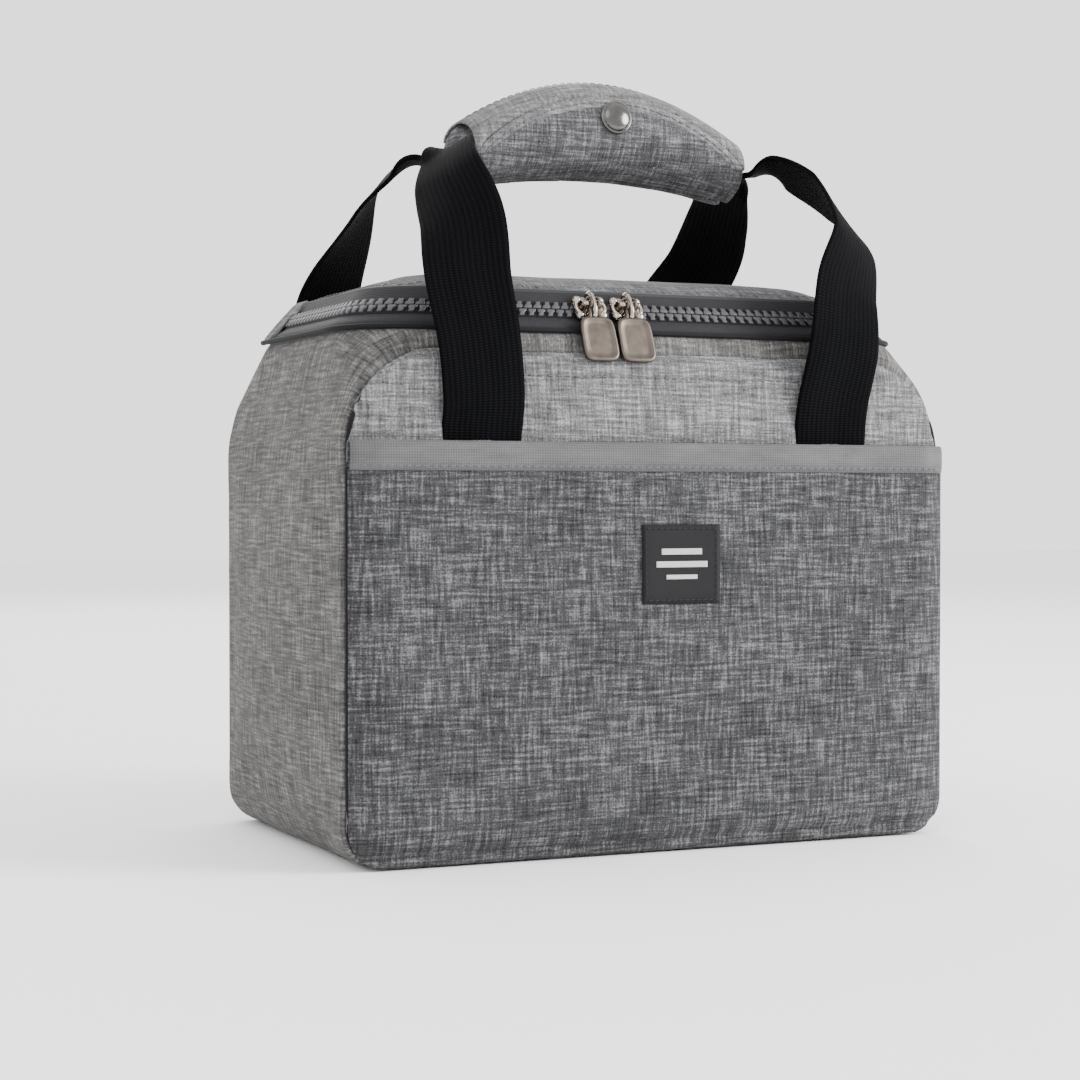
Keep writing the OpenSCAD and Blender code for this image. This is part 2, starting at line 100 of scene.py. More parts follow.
floor_mesh = bpy.data.meshes.new("studio_floor")
floor_mesh.from_pydata([(-4, -4, 0), (4, -4, 0), (4, 4, 0), (-4, 4, 0)], [], [(0, 1, 2, 3)])
floor_mesh.materials.append(plain_material("pale_floor", (0.92, 0.92, 0.92), 0.9)[0])
studio_floor = linked("studio_floor", floor_mesh)
studio_floor.location.z = -0.0005

soft_lamp("key_lamp", (-0.9, -1.5, 1.5), (0, 0, 0.12), 1.4, 10)
soft_lamp("fill_lamp", (1.3, -0.9, 0.7), (0.08, 0, 0.12), 0.9, 52)
soft_lamp("side_lamp", (-1.8, 0.3, 0.9), (0, 0, 0.12), 1.2, 5)
soft_lamp("back_lamp", (0.3, 1.6, 1.3), (0, 0, 0.15), 1.2, 16)
world = bpy.data.worlds.new("studio")
world.use_nodes = True
world.node_tree.nodes["Background"].inputs["Color"].default_value = (1, 1, 1, 1)
world.node_tree.nodes["Background"].inputs["Strength"].default_value = 2.0
bpy.context.scene.world = world


# ---- Outer shell: front panel, back panel and gusset ----
# Heathered polyester on foam: two flat panels and one band that runs round them,
# sewn inside out, so that the seams turn in and the foam swells between them.

def corners_of(node):
    """A node's lowest and highest corners at rest."""
    return [Vector(c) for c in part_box(node)]


front_low, front_high = corners_of("front_panel")
tape_low, tape_high = corners_of("body_tape")
half_w = front_high.x
front_y = front_low.y
back_y = corners_of("back_panel")[1].y
panel_top = front_high.z
fabric_t = front_high.y - front_low.y
rim_z = tape_low.z - 0.1 * mm
rim_half_w = tape_high.x + 0.1 * mm
rim_half_d = -tape_low.y + 0.05 * mm
top_radius = 32 * mm
foot_radius = 14 * mm
rim_radius = 30 * mm


def corner(cx, cy, r, start, steps=12):
    return [(cx + r * math.cos(start + math.pi / 2 * k / steps),
             cy + r * math.sin(start + math.pi / 2 * k / steps)) for k in range(steps + 1)]


def rounded(w, low, top, r_low, r_top, steps=12):
    """Outline of a rounded rectangle, anticlockwise from its right top corner."""
    return (corner(w - r_top, top - r_top, r_top, 0, steps)
            + corner(-w + r_top, top - r_top, r_top, math.pi / 2, steps)
            + corner(-w + r_low, low + r_low, r_low, math.pi, steps)
            + corner(w - r_low, low + r_low, r_low, 3 * math.pi / 2, steps))

def panel_outline(inset, steps=12):
    return rounded(half_w - inset, inset, panel_top - inset, max(foot_radius - inset, 2 * mm),
                   top_radius - inset, steps)


def plan(w, d, r, z):
    return [Vector((x, y, z)) for x, y in rounded(w, -d, d, r, r)]


def hull_mesh(name, points):
    """The tight skin over a set of points."""
    bm = bmesh.new()
    for p in points:
        bm.verts.new(p)
    made = bmesh.ops.convex_hull(bm, input=bm.verts)
    inside = {e for e in made["geom_interior"] + made["geom_unused"]
              if isinstance(e, bmesh.types.BMVert)}
    bmesh.ops.delete(bm, geom=list(inside), context="VERTS")
    mesh = bpy.data.meshes.new(name)
    bm.to_mesh(mesh)
    bm.free()
    return linked(name, mesh)


def applied(piece):
    """Bakes a piece's modifiers into its mesh."""
    deps = bpy.context.evaluated_depsgraph_get()
    mesh = bpy.data.meshes.new_from_object(piece.evaluated_get(deps))
    old = piece.data
    piece.modifiers.clear()
    piece.data = mesh
    bpy.data.meshes.remove(old)
    return piece


def drop(piece):
    mesh = piece.data
    bpy.data.objects.remove(piece)
    bpy.data.meshes.remove(mesh)


def voxels(piece, size):
    """Rebuilds a closed form in even faces of one size."""
    remesh = piece.modifiers.new("even", "REMESH")
    remesh.mode = "VOXEL"
    remesh.voxel_size = size
    applied(piece)
    smooth = piece.modifiers.new("smooth", "SMOOTH")
    smooth.iterations = 4
    smooth.factor = 0.5
    return applied(piece)


def spots_tree(points):
    tree = KDTree(len(points))
    for index, p in enumerate(points):
        tree.insert(p, index)
    tree.balance()
    return tree


def swelling(form, voxel, seam_distance, pressure, cap):
    """Inflates a copy of a closed form as cloth held at its seams: where each point goes."""
    copy = linked("swelling", form.data.copy())
    voxels(copy, voxel)
    seams = copy.vertex_groups.new(name="seams")
    for v in copy.data.vertices:
        hold = max(0.0, 1 - seam_distance(v.co) / (1.6 * voxel))
        if hold > 0:
            seams.add([v.index], hold, "REPLACE")
    cloth = copy.modifiers.new("padding", "CLOTH")
    cloth.settings.vertex_group_mass = "seams"
    cloth.settings.quality = 4
    cloth.settings.mass = 0.3
    cloth.settings.tension_stiffness = 12
    cloth.settings.compression_stiffness = 12
    cloth.settings.bending_stiffness = 0.6
    cloth.settings.use_pressure = True
    cloth.settings.uniform_pressure_force = pressure
    cloth.settings.effector_weights.gravity = 0
    rest = [v.co.copy() for v in copy.data.vertices]
    for step in range(1, 21):
        bpy.context.scene.frame_set(step)
    deps = bpy.context.evaluated_depsgraph_get()
    moved = [v.co.copy() for v in copy.evaluated_get(deps).data.vertices]
    bpy.context.scene.frame_set(1)
    shifts = []
    for a, b in zip(rest, moved):
        shift = b - a
        if shift.length > cap:
            shift *= cap / shift.length
        shifts.append(shift)
    drop(copy)
    return spots_tree(rest), shifts


def swell(piece, field):
    """Moves a piece's points as the swollen cloth near them moved."""
    tree, shifts = field
    for v in piece.data.vertices:
        near = tree.find_n(v.co, 6)
        weights = [1 / (d + 0.5 * mm) for _, _, d in near]
        total = sum((shifts[i] * w for (_, i, _), w in zip(near, weights)), Vector())
        v.co += total / sum(weights)


def cut_away(piece, place, away):
    """Cuts a piece on a plane and drops what lies on its far side."""
    bm = bmesh.new()
    bm.from_mesh(piece.data)
    bmesh.ops.bisect_plane(bm, geom=bm.verts[:] + bm.edges[:] + bm.faces[:], dist=0.01 * mm,
                           plane_co=place, plane_no=away, clear_outer=True)
    bm.to_mesh(piece.data)
    bm.free()
    return piece


def copy_of(piece, name):
    return linked(name, piece.data.copy())


def rumple(piece, height, size, seed):
    """Lets a surface swell outwards unevenly by up to a height, as soft cloth does."""
    shift = Vector((seed * 7.1, seed * 3.3, seed * 5.7))
    normals = [v.normal.copy() for v in piece.data.vertices]
    for v, n in zip(piece.data.vertices, normals):
        v.co += n * height * (0.5 + 0.5 * noise.noise(v.co / size + shift))


def thicken(piece, depth, offset=-1):
    solid = piece.modifiers.new("thick", "SOLIDIFY")
    solid.thickness = depth
    solid.offset = offset
    return applied(piece)


def lay_weave(piece):
    """Gives each face the cloth's own coordinates, in millimetres, from the side it faces."""
    mesh = piece.data
    layer = mesh.uv_layers.get("weave") or mesh.uv_layers.new(name="weave")
    for face in mesh.polygons:
        n = face.normal
        for loop in face.loop_indices:
            co = mesh.vertices[mesh.loops[loop].vertex_index].co / mm
            if abs(n.y) >= abs(n.x) and abs(n.y) >= abs(n.z):
                layer.data[loop].uv = (co.x, co.z)
            elif abs(n.x) >= abs(n.z):
                layer.data[loop].uv = (co.y + 37, co.z)
            else:
                layer.data[loop].uv = (co.x, co.y + 81)


def dress(piece, material, body, slot, *nodes):
    """Gives a finished piece its material and its body, and hides the nodes it stands for; its slot is not
    used.
    """
    piece.data.materials.clear()
    piece.data.materials.append(material)
    for face in piece.data.polygons:
        face.use_smooth = True
    if body:
        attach(piece, body)
    if nodes:
        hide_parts(*nodes)
    return piece


def add(tree, kind, wires=None, **settings):
    """Adds one shader node, wired or set through its input sockets."""
    made = tree.nodes.new(kind)
    for key, value in settings.items():
        setattr(made, key, value)
    for key, value in (wires or {}).items():
        if isinstance(value, bpy.types.NodeSocket):
            tree.links.new(value, made.inputs[key])
        else:
            made.inputs[key].default_value = value
    return made


def cloth_place(tree):
    return add(tree, "ShaderNodeUVMap", uv_map="weave").outputs["UV"]


def streaks(tree, place, across, along, seed):
    """Noise drawn out into threads: across and along are cells per millimetre."""
    lie = add(tree, "ShaderNodeMapping", {"Vector": place, "Scale": (across, along, 1),
                                          "Location": (seed, seed * 2, seed)})
    return add(tree, "ShaderNodeTexNoise", {"Vector": lie.outputs["Vector"], "Scale": 1.0, "Detail": 3.0,
                                            "Roughness": 0.62}).outputs["Fac"]


def blend_of(tree, a, b, amount):
    return add(tree, "ShaderNodeMix", {"Factor": amount, "A": a, "B": b},
               data_type="FLOAT").outputs["Result"]


def woven(tree, place, across, along, distortion, detail=2.0):
    """The relief of a weave: ribs across it times ribs along it."""
    ribs = [add(tree, "ShaderNodeTexWave", {"Vector": place, "Scale": scale, "Detail": detail,
                                            "Distortion": distortion},
                bands_direction=way).outputs["Fac"] for way, scale in (("X", across), ("Y", along))]
    return add(tree, "ShaderNodeMath", {0: ribs[0], 1: ribs[1]}, operation="MULTIPLY").outputs["Value"]


def tones(tree, shader, amount, dark, light, *between):
    """Colours a shader between stops, each a place on the scale and a colour."""
    ramp = add(tree, "ShaderNodeValToRGB", {"Fac": amount})
    stops = ramp.color_ramp.elements
    for stop, (place, color) in zip((stops[0], stops[1]), (dark, light)):
        stop.position = place
        stop.color = (*color, 1)
    for place, color in between:
        stops.new(place).color = (*color, 1)
    tree.links.new(ramp.outputs["Color"], shader.inputs["Base Color"])


def relief(tree, shader, height, strength, depth):
    bump = add(tree, "ShaderNodeBump", {"Height": height, "Strength": strength, "Distance": depth})
    tree.links.new(bump.outputs["Normal"], shader.inputs["Normal"])


def uneven_gloss(tree, shader, amount, low, high):
    rough = add(tree, "ShaderNodeMapRange", {"Value": amount, "To Min": low, "To Max": high})
    tree.links.new(rough.outputs["Result"], shader.inputs["Roughness"])


def cloth_gloss(shader, specular, sheen=0.0, sheen_roughness=0.5):
    shader.inputs["Specular IOR Level"].default_value = specular
    shader.inputs["Sheen Weight"].default_value = sheen
    shader.inputs["Sheen Roughness"].default_value = sheen_roughness


def heather(name, dark, middle, light, seed):
    """Two-tone polyester: light slubs run both ways over a dark ground, with a fine weave."""
    material, tree, shader = plain_material(name, middle, 0.88)
    place = cloth_place(tree)
    threads = streaks(tree, place, 0.85, 0.075, seed)
    for across, along, later, share in ((0.07, 0.9, 4, 0.52), (1.3, 1.3, 9, 0.28),
                                        (0.035, 0.035, 13, 0.1)):
        more = streaks(tree, place, across, along, seed + later)
        threads = blend_of(tree, threads, more, share)
    tones(tree, shader, threads, (0.40, dark), (0.62, light), (0.51, middle))
    weave = woven(tree, place, 0.33, 0.33, 0.6, 1.0)
    relief(tree, shader, blend_of(tree, weave, threads, 0.55), 0.55, 0.0004)
    uneven_gloss(tree, shader, threads, 0.95, 0.78)
    cloth_gloss(shader, 0.12, 0.03)
    return material


panel_cloth = heather("panel_heather", (0.034, 0.034, 0.036), (0.115, 0.115, 0.118),
                      (0.31, 0.31, 0.315), 1)
gusset_cloth = heather("gusset_heather", (0.026, 0.0252, 0.0245), (0.078, 0.0755, 0.073),
                       (0.2, 0.195, 0.19), 21)
pocket_cloth = heather("pocket_heather", (0.011, 0.011, 0.012), (0.043, 0.043, 0.0455),
                       (0.16, 0.16, 0.165), 41)


def bag_points(inset):
    points = [Vector((x, y, z)) for x, z in panel_outline(inset)
              for y in (front_y + inset, back_y - inset)]
    return points + plan(rim_half_w - inset, rim_half_d - inset, rim_radius - inset, rim_z)


outline_line = [Vector((x, 0, z)) for x, z in panel_outline(0, 24)]
edge_spots = []
for a, b in zip(outline_line, outline_line[1:] + outline_line[:1]):
    spots = max(int((b - a).length / mm), 1)
    edge_spots += [a.lerp(b, k / spots) for k in range(spots)]
outline_tree = spots_tree(edge_spots)


def bag_seam_distance(co):
    """How far a point is from the panels' seams, the rim or the standing base."""
    _, _, off = outline_tree.find(Vector((co.x, 0, co.z)))
    side = min(abs(co.y - front_y), abs(co.y - back_y))
    return min(math.hypot(off, side), abs(co.z - rim_z), co.z * 2 + 2 * mm)


bag_form = hull_mesh("bag_form", bag_points(0.0))
bag_fine = voxels(copy_of(bag_form, "bag_fine"), 3.0 * mm)
swell(bag_fine, swelling(bag_form, 5.5 * mm, bag_seam_distance, 3.0, 4 * mm))
drop(bag_form)
rumple(bag_fine, 0.9 * mm, 42 * mm, 1)
rumple(bag_fine, 0.35 * mm, 13 * mm, 2)
for v in bag_fine.data.vertices:
    v.co.z = max(v.co.z, 0.05 * mm)
    proud = 2.2 * mm if v.co.z > 0.14 else 0.2 * mm
    v.co.y = max(v.co.y, front_y - proud)
cut_away(bag_fine, (0, 0, rim_z - 0.2 * mm), (0, 0, 1))

seam_front_y = front_y + 1.6 * mm
seam_back_y = back_y - 1.6 * mm


def turn_in(piece, seam_y, depth, reach):
    """Pulls the cloth in where it turns into a seam."""
    normals = [v.normal.copy() for v in piece.data.vertices]
    for v, n in zip(piece.data.vertices, normals):
        pull = math.exp(-((v.co.y - seam_y) / reach) ** 2)
        v.co -= n * depth * pull


for seam_y, way in ((seam_front_y, 1), (seam_back_y, -1)):
    bm = bmesh.new()
    bm.from_mesh(bag_fine.data)
    for step in (-1.6, -0.8, 0.7, 1.4, 2.3, 3.4):
        bmesh.ops.bisect_plane(bm, geom=bm.verts[:] + bm.edges[:] + bm.faces[:], dist=0.02 * mm,
                               plane_co=(0, seam_y + way * step * mm, 0), plane_no=(0, 1, 0))
    bm.to_mesh(bag_fine.data)
    bm.free()

gusset = copy_of(bag_fine, "gusset")
cut_away(gusset, (0, seam_front_y, 0), (0, -1, 0))
cut_away(gusset, (0, seam_back_y, 0), (0, 1, 0))
turn_in(gusset, seam_front_y, 2.2 * mm, 1.7 * mm)
turn_in(gusset, seam_back_y, 2.2 * mm, 1.7 * mm)
thicken(gusset, fabric_t)

edge_runs = [0.0]
for a, b in zip(edge_spots, edge_spots[1:] + edge_spots[:1]):
    edge_runs.append(edge_runs[-1] + (b - a).length)
whole_edge = edge_runs[-1]


def band_place(co):
    """The gusset's own cloth coordinates: across its depth, and along its way round the panels."""
    spot, i, _ = outline_tree.find(Vector((co.x, 0, co.z)))
    onward = (edge_spots[(i + 1) % len(edge_spots)] - edge_spots[i - 1]).normalized()
    run = edge_runs[i] + (Vector((co.x, 0, co.z)) - spot).dot(onward)
    rise = 0.53 * max(0.0, co.z - panel_top) * (1 if co.y < 0 else -1)
    return (co.y + rise) / mm, run / mm


band_uv = gusset.data.uv_layers.new(name="weave")
places = [band_place(v.co) for v in gusset.data.vertices]
for face in gusset.data.polygons:
    first_run = places[face.vertices[0]][1]
    for loop, index in zip(face.loop_indices, face.vertices):
        over, run = places[index]
        turns = round((first_run - run) * mm / whole_edge)
        band_uv.data[loop].uv = (over, run + turns * whole_edge / mm)
dress(gusset, gusset_cloth, "bag", "gusset_fabric", "left_gusset", "right_gusset", "base_gusset",
      "front_collar", "back_collar")

for name, seam_y, way, node in (("front_panel_cloth", seam_front_y, 1, "front_panel"),
                                ("back_panel_cloth", seam_back_y, -1, "back_panel")):
    panel = cut_away(copy_of(bag_fine, name), (0, seam_y, 0), (0, way, 0))
    turn_in(panel, seam_y, 1.9 * mm, 1.3 * mm)
    thicken(panel, fabric_t)
    lay_weave(panel)
    dress(panel, panel_cloth, "bag", "heather_fabric", node)
drop(bag_fine)


def turn_steps(count):
    """Even steps of one whole turn."""
    return [2 * math.pi * k / count for k in range(count)]


def skin_faces(levels, n, base=0, closed=False):
    """Faces over a stack of rings of n points, capped at both ends unless the stack closes."""
    faces = []
    for i in range(levels if closed else levels - 1):
        low, high = base + i * n, base + (i + 1) % levels * n
        for k in range(n):
            after = (k + 1) % n
            faces.append((low + k, low + after, high + after, high + k))
    if not closed:
        faces.append(tuple(base + k for k in range(n))[::-1])
        faces.append(tuple(base + (levels - 1) * n + k for k in range(n)))
    return faces


def made_piece(name, verts, faces):
    mesh = bpy.data.meshes.new(name)
    mesh.from_pydata([tuple(v) for v in verts], [], faces)
    bm = bmesh.new()
    bm.from_mesh(mesh)
    bmesh.ops.recalc_face_normals(bm, faces=bm.faces)
    bm.to_mesh(mesh)
    bm.free()
    return linked(name, mesh)


def tube(name, points, radius, closed=False, sides=8, flat=1.0):
    """A thread or welt swept along a line of points."""
    verts = []
    count = len(points)
    for i, p in enumerate(points):
        after = points[(i + 1) % count] if closed or i + 1 < count else p
        before = points[i - 1] if closed or i > 0 else p
        t = (after - before).normalized()
        side = t.cross(Vector((0, 0, 1)) if abs(t.z) < 0.9 else Vector((0, 1, 0))).normalized()
        up = side.cross(t)
        for a in turn_steps(sides):
            verts.append(p + side * radius * math.cos(a) + up * radius * flat * math.sin(a))
    return made_piece(name, verts, skin_faces(count, sides, closed=closed))


def shade(color, amount):
    return tuple(min(c * amount, 1) for c in color)


def speckle(tree, scale, detail, roughness=0.5):
    """Fine cloudy noise that stays with the piece."""
    place = add(tree, "ShaderNodeTexCoord").outputs["Object"]
    return add(tree, "ShaderNodeTexNoise", {"Vector": place, "Scale": scale, "Detail": detail,
                                            "Roughness": roughness}).outputs["Fac"]


def thread(name, color):
    material, tree, shader = plain_material(name, color, 0.7)
    twist = speckle(tree, 2500.0, 2.0)
    tones(tree, shader, twist, (0, shade(color, 0.6)), (1, shade(color, 1.4)))
    relief(tree, shader, twist, 0.4, 0.0002)
    cloth_gloss(shader, 0.1, 0.02)
    return material


# A near-black thread material used for painted shade: in the seam grooves, under the lower zip tape and
# between the zip teeth.
painted_shade_thread = thread("painted_shade_black", (0.006, 0.006, 0.007))
grey_thread = thread("stitch_grey", (0.1, 0.1, 0.107))
dark_thread = thread("stitch_dark", (0.02, 0.02, 0.022))
# Black tubes laid in the turned-in seams: painted shade in the seam grooves, not a piping.
for seam_name, seam_y in (("front_seam_shade", seam_front_y), ("back_seam_shade", seam_back_y)):
    line = [Vector((x, seam_y, z)) for x, z in panel_outline(1.9 * mm, 16)]
    dress(tube(seam_name, line, 1.1 * mm, closed=True), painted_shade_thread, "bag", "gusset_fabric")


# ---- Padding, foil lining and the bound rim ----
# Closed-cell foam sheets stand between the shell and a tub of crinkled foil film.
# A woven tape is folded over the raw top edge of all three and sewn through.

def pitted(tree, scale):
    """Small cells that stay with the piece."""
    place = add(tree, "ShaderNodeTexCoord").outputs["Object"]
    return add(tree, "ShaderNodeTexVoronoi", {"Vector": place, "Scale": scale}).outputs["Distance"]


white_foam, foam_tree, foam_shader = plain_material("white_foam", (0.78, 0.78, 0.75), 0.9)
foam_cells = pitted(foam_tree, 900.0)
tones(foam_tree, foam_shader, foam_cells, (0, (0.6, 0.6, 0.57)), (1, (0.85, 0.85, 0.82)))
relief(foam_tree, foam_shader, foam_cells, 0.5, 0.0003)

foil_film, foil_tree, foil_shader = plain_material("foil_film", (0.72, 0.73, 0.74), 0.3)
crinkle = speckle(foil_tree, 90.0, 5.0, 0.6)
creases = blend_of(foil_tree, crinkle, pitted(foil_tree, 130.0), 0.4)
relief(foil_tree, foil_shader, creases, 0.8, 0.0012)
uneven_gloss(foil_tree, foil_shader, crinkle, 0.18, 0.42)
foil_shader.inputs["Metallic"].default_value = 0.9

padding = voxels(hull_mesh("shell_padding", bag_points(3.9 * mm)), 4 * mm)
cut_away(padding, (0, 0, rim_z - 5 * mm), (0, 0, 1))
thicken(padding, 1.2 * mm)
dress(padding, white_foam, "bag", "insulation", "front_foam", "back_foam", "left_foam",
      "right_foam", "base_foam")

liner_in = 5.6 * mm
tub = voxels(hull_mesh("foil_tub", bag_points(liner_in)), 3.5 * mm)
for v in tub.data.vertices:
    v.co.z = max(v.co.z, liner_in)
cut_away(tub, (0, 0, rim_z - liner_in - 0.4 * mm), (0, 0, 1))
rumple(tub, -0.9 * mm, 16 * mm, 5)
rumple(tub, -0.4 * mm, 6 * mm, 6)
thicken(tub, 0.5 * mm)
lay_weave(tub)
dress(tub, foil_film, "bag", "foil", "foil_liner")


def tape_material(name, color, rib=1.1):
    """Woven tape: fine ribs across, a little lighter and darker along its length."""
    material, tree, shader = plain_material(name, color, 0.7)
    place = cloth_place(tree)
    weave = woven(tree, place, 0.31 * rib, 0.31 * rib, 0.4)
    tone = blend_of(tree, weave, streaks(tree, place, 0.25, 0.06, 3), 0.6)
    tones(tree, shader, tone, (0.15, shade(color, 0.62)), (0.75, shade(color, 1.3)))
    relief(tree, shader, weave, 0.5, 0.00025)
    cloth_gloss(shader, 0.2, 0.04, 0.4)
    return material


rim_tape = tape_material("rim_binding_weave", (0.03, 0.03, 0.033))


def strip(name, rows, thickness, offset=1, closed=False):
    """A sheet through rows of points of one count, thickened, with the weave laid along it."""
    across = len(rows[0])
    verts = [p for row in rows for p in row]
    faces = []
    count = len(rows)
    for i in range(count if closed else count - 1):
        for k in range(across - 1):
            j = (i + 1) % count
            faces.append((i * across + k, j * across + k, j * across + k + 1, i * across + k + 1))
    mesh = bpy.data.meshes.new(name)
    mesh.from_pydata([tuple(v) for v in verts], [], faces)
    middle_row = across // 2
    along = [0.0]
    for a, b in zip(rows, rows[1:] + rows[:1]):
        along.append(along[-1] + (b[middle_row] - a[middle_row]).length / mm)
    over = [0.0]
    for a, b in zip(rows[count // 2], rows[count // 2][1:]):
        over.append(over[-1] + (b - a).length / mm)
    layer = mesh.uv_layers.new(name="weave")
    for face_index, face in enumerate(mesh.polygons):
        i, k = divmod(face_index, across - 1)
        for loop, (di, dk) in zip(face.loop_indices, ((0, 0), (1, 0), (1, 1), (0, 1))):
            layer.data[loop].uv = (over[k + dk], along[i + di])
    return thicken(linked(name, mesh), thickness, offset)


def bound_edge(name, outline, z, section, offset):
    """Tape folded over an edge: its section, in millimetres inward and up, goes round the outline."""
    rows = []
    for k, spot in enumerate(outline):
        onward = outline[(k + 1) % len(outline)] - outline[k - 1]
        inward = Vector((-onward.y, onward.x, 0)).normalized()
        rows.append([spot + inward * dx * mm + Vector((0, 0, z + dz * mm)) for dx, dz in section])
    return strip(name, rows, 0.5 * mm, offset, closed=True)


wall = 6.6
rim_section = [(-0.4, -2.4), (-0.75, -0.5), (-0.3, 0.1), (1.3, 0.25), (wall - 2.2, 0.05),
               (wall - 0.9, -0.6), (wall, -2), (wall + 0.6, -8)]
outer_rim = plan(rim_half_w - 0.4 * mm, rim_half_d - 0.4 * mm, rim_radius, 0)
rim_binding = bound_edge("rim_binding", outer_rim, rim_z, rim_section, -1)
dress(rim_binding, rim_tape, "bag", "binding_tape")


# ---- Front pocket ----
# One slack panel sewn in with the front's side and bottom seams, with a bound mouth
# that stands open a little where the webbing drops in behind it, and a woven label.

pocket_low = corners_of("pocket_panel")[0]
binding_low, binding_high = corners_of("pocket_binding")
label_low, label_high = corners_of("woven_label")
pocket_top = binding_high.z
pocket_slack = front_y - fabric_t - pocket_low.y
foot_line = 4.5 * mm


def pocket_surface(x, z):
    """Where the pocket's outer face lies at a place on the front."""
    _, _, off = outline_tree.find(Vector((x, 0, z)))
    rise = min(off / (17 * mm), 1)
    rise = 1 - (1 - rise) ** 2.2
    if z > 0.1:
        rise = max(rise, min(1, (half_w - abs(x)) / (10 * mm)))
    wave = (noise.noise(Vector((x / 0.055, z / 0.075, 3.1)))
            + 0.5 * noise.noise(Vector((x / 0.022, z / 0.03, 8.7))))
    mouth = max(0.0, (z - 0.095) / 0.05)
    bulge = 0.9 * mm * math.sin(math.pi * min(max((x + half_w) / (2 * half_w), 0), 1))
    seam = 1.6 * mm * math.exp(-((z - foot_line) / (1.2 * mm)) ** 2)
    ripple = 0.5 * mm * mouth * math.sin(x / 0.0135 + 1.3) * math.sin(x / 0.041)
    return front_y - fabric_t - (pocket_slack + bulge) * rise + (0.75 * mm * wave + ripple) * rise + seam


def pocket_half_width(z):
    if z >= foot_radius:
        return half_w - 0.6 * mm
    return half_w - foot_radius + math.sqrt(foot_radius ** 2 - (foot_radius - z) ** 2) - 0.6 * mm


pocket_rows = []
for i in range(78):
    z = 0.4 * mm + (pocket_top - 0.8 * mm) * (i / 77) ** 1.15
    w = pocket_half_width(z)
    row = []
    for k in range(91):
        u = k / 45 - 1
        x = w * math.sin(math.pi / 2 * u) * 0.35 + w * u * 0.65
        row.append(Vector((x, pocket_surface(x, z), z)))
    pocket_rows.append(row)
pocket = strip("pocket_cloth", pocket_rows, fabric_t)
lay_weave(pocket)
dress(pocket, pocket_cloth, "bag", "pocket_fabric", "pocket_panel")

binding_h = binding_high.z - binding_low.z
binding_section = [(0.3, 0), (0.9, 0.5), (1.15, 2), (1.2, 5), (1.15, 8), (0.9, 9.4), (0.2, 10.15),
                   (-0.9, 10.3), (-1.9, 9.8), (-2.2, 8.5), (-2.2, 3)]
binding_rows = []
for k in range(121):
    x = (half_w - 1.0 * mm) * (k / 60 - 1)
    row = []
    for proud, up in binding_section:
        z = pocket_top - binding_h + up * binding_h / 10
        row.append(Vector((x, pocket_surface(x, min(z, pocket_top)) - proud * mm, z)))
    binding_rows.append(row)
pocket_tape = tape_material("pocket_binding_weave", (0.088, 0.088, 0.09))
pocket_binding = strip("pocket_binding_tape", binding_rows, 0.45 * mm, -1)
dress(pocket_binding, pocket_tape, "bag", "binding_tape", "pocket_binding")


def stitches(name, points, length, gap, radius, material, body, lift=None, slot="heather_fabric"):
    """A row of separate thread stitches laid along a line of points, each dipping at its ends."""
    runs = [0.0]
    for a, b in zip(points, points[1:]):
        runs.append(runs[-1] + (b - a).length)

    def at(s):
        k = 0
        while k < len(runs) - 2 and runs[k + 1] < s:
            k += 1
        t = (s - runs[k]) / max(runs[k + 1] - runs[k], 1e-9)
        return points[k].lerp(points[k + 1], min(max(t, 0), 1)), (points[k + 1] - points[k]).normalized()

    verts, faces = [], []
    s = gap
    while s + length < runs[-1]:
        base = len(verts)
        for step in range(5):
            p, t = at(s + length * step / 4)
            up = lift(p) if lift else Vector((0, -1, 0))
            side = t.cross(up).normalized()
            belly = math.sin(math.pi * (0.12 + 0.76 * step / 4))
            middle = p + up * radius * (1.1 * belly - 0.5)
            r = radius * (0.55 + 0.45 * belly)
            for a in (math.pi * k / 3 for k in range(6)):
                verts.append(middle + side * r * math.cos(a) + up * r * math.sin(a) * 0.8)
        faces += skin_faces(5, 6, base)
        s += length + gap
    return dress(made_piece(name, verts, faces), material, body, slot)


def on_pocket(x, z, proud):
    return Vector((x, pocket_surface(x, z) - proud, z))


def across_pocket(reach, z, proud):
    """A line of points across the pocket's face, as far to the left as to the right."""
    return [on_pocket(reach * (k / 60 - 1), z, proud) for k in range(121)]


stitches("binding_stitches", across_pocket(half_w - 3 * mm, pocket_top - binding_h + 1.6 * mm, 1.65 * mm),
         2.3 * mm, 0.8 * mm, 0.22 * mm, grey_thread, "bag", slot="binding_tape")
stitches("foot_stitches", across_pocket(half_w - 12 * mm, foot_line + 0.2 * mm, -0.15 * mm),
         2.4 * mm, 0.9 * mm, 0.25 * mm, dark_thread, "bag", slot="pocket_fabric")


def label_material(name, color):
    material, tree, shader = plain_material(name, color, 0.55)
    weave = woven(tree, cloth_place(tree), 0.8, 1.1, 0.2)
    tones(tree, shader, weave, (0, shade(color, 0.6)), (1, shade(color, 1.5)))
    relief(tree, shader, weave, 0.5, 0.0002)
    cloth_gloss(shader, 0.15, 0.02)
    return material


label_cloth = label_material("label_ground", (0.006, 0.006, 0.007))
label_pale = label_material("label_bars", (0.5, 0.5, 0.5))


def patch(name, x0, x1, z0, z1, proud, thickness, pucker=0.0):
    rows = []
    for i in range(25):
        z = z0 + (z1 - z0) * i / 24
        row = []
        for k in range(25):
            x = x0 + (x1 - x0) * k / 24
            edge = max(abs(i / 12 - 1), abs(k / 12 - 1))
            row.append(on_pocket(x, z, proud - pucker * edge ** 8))
        rows.append(row)
    return strip(name, rows, thickness)


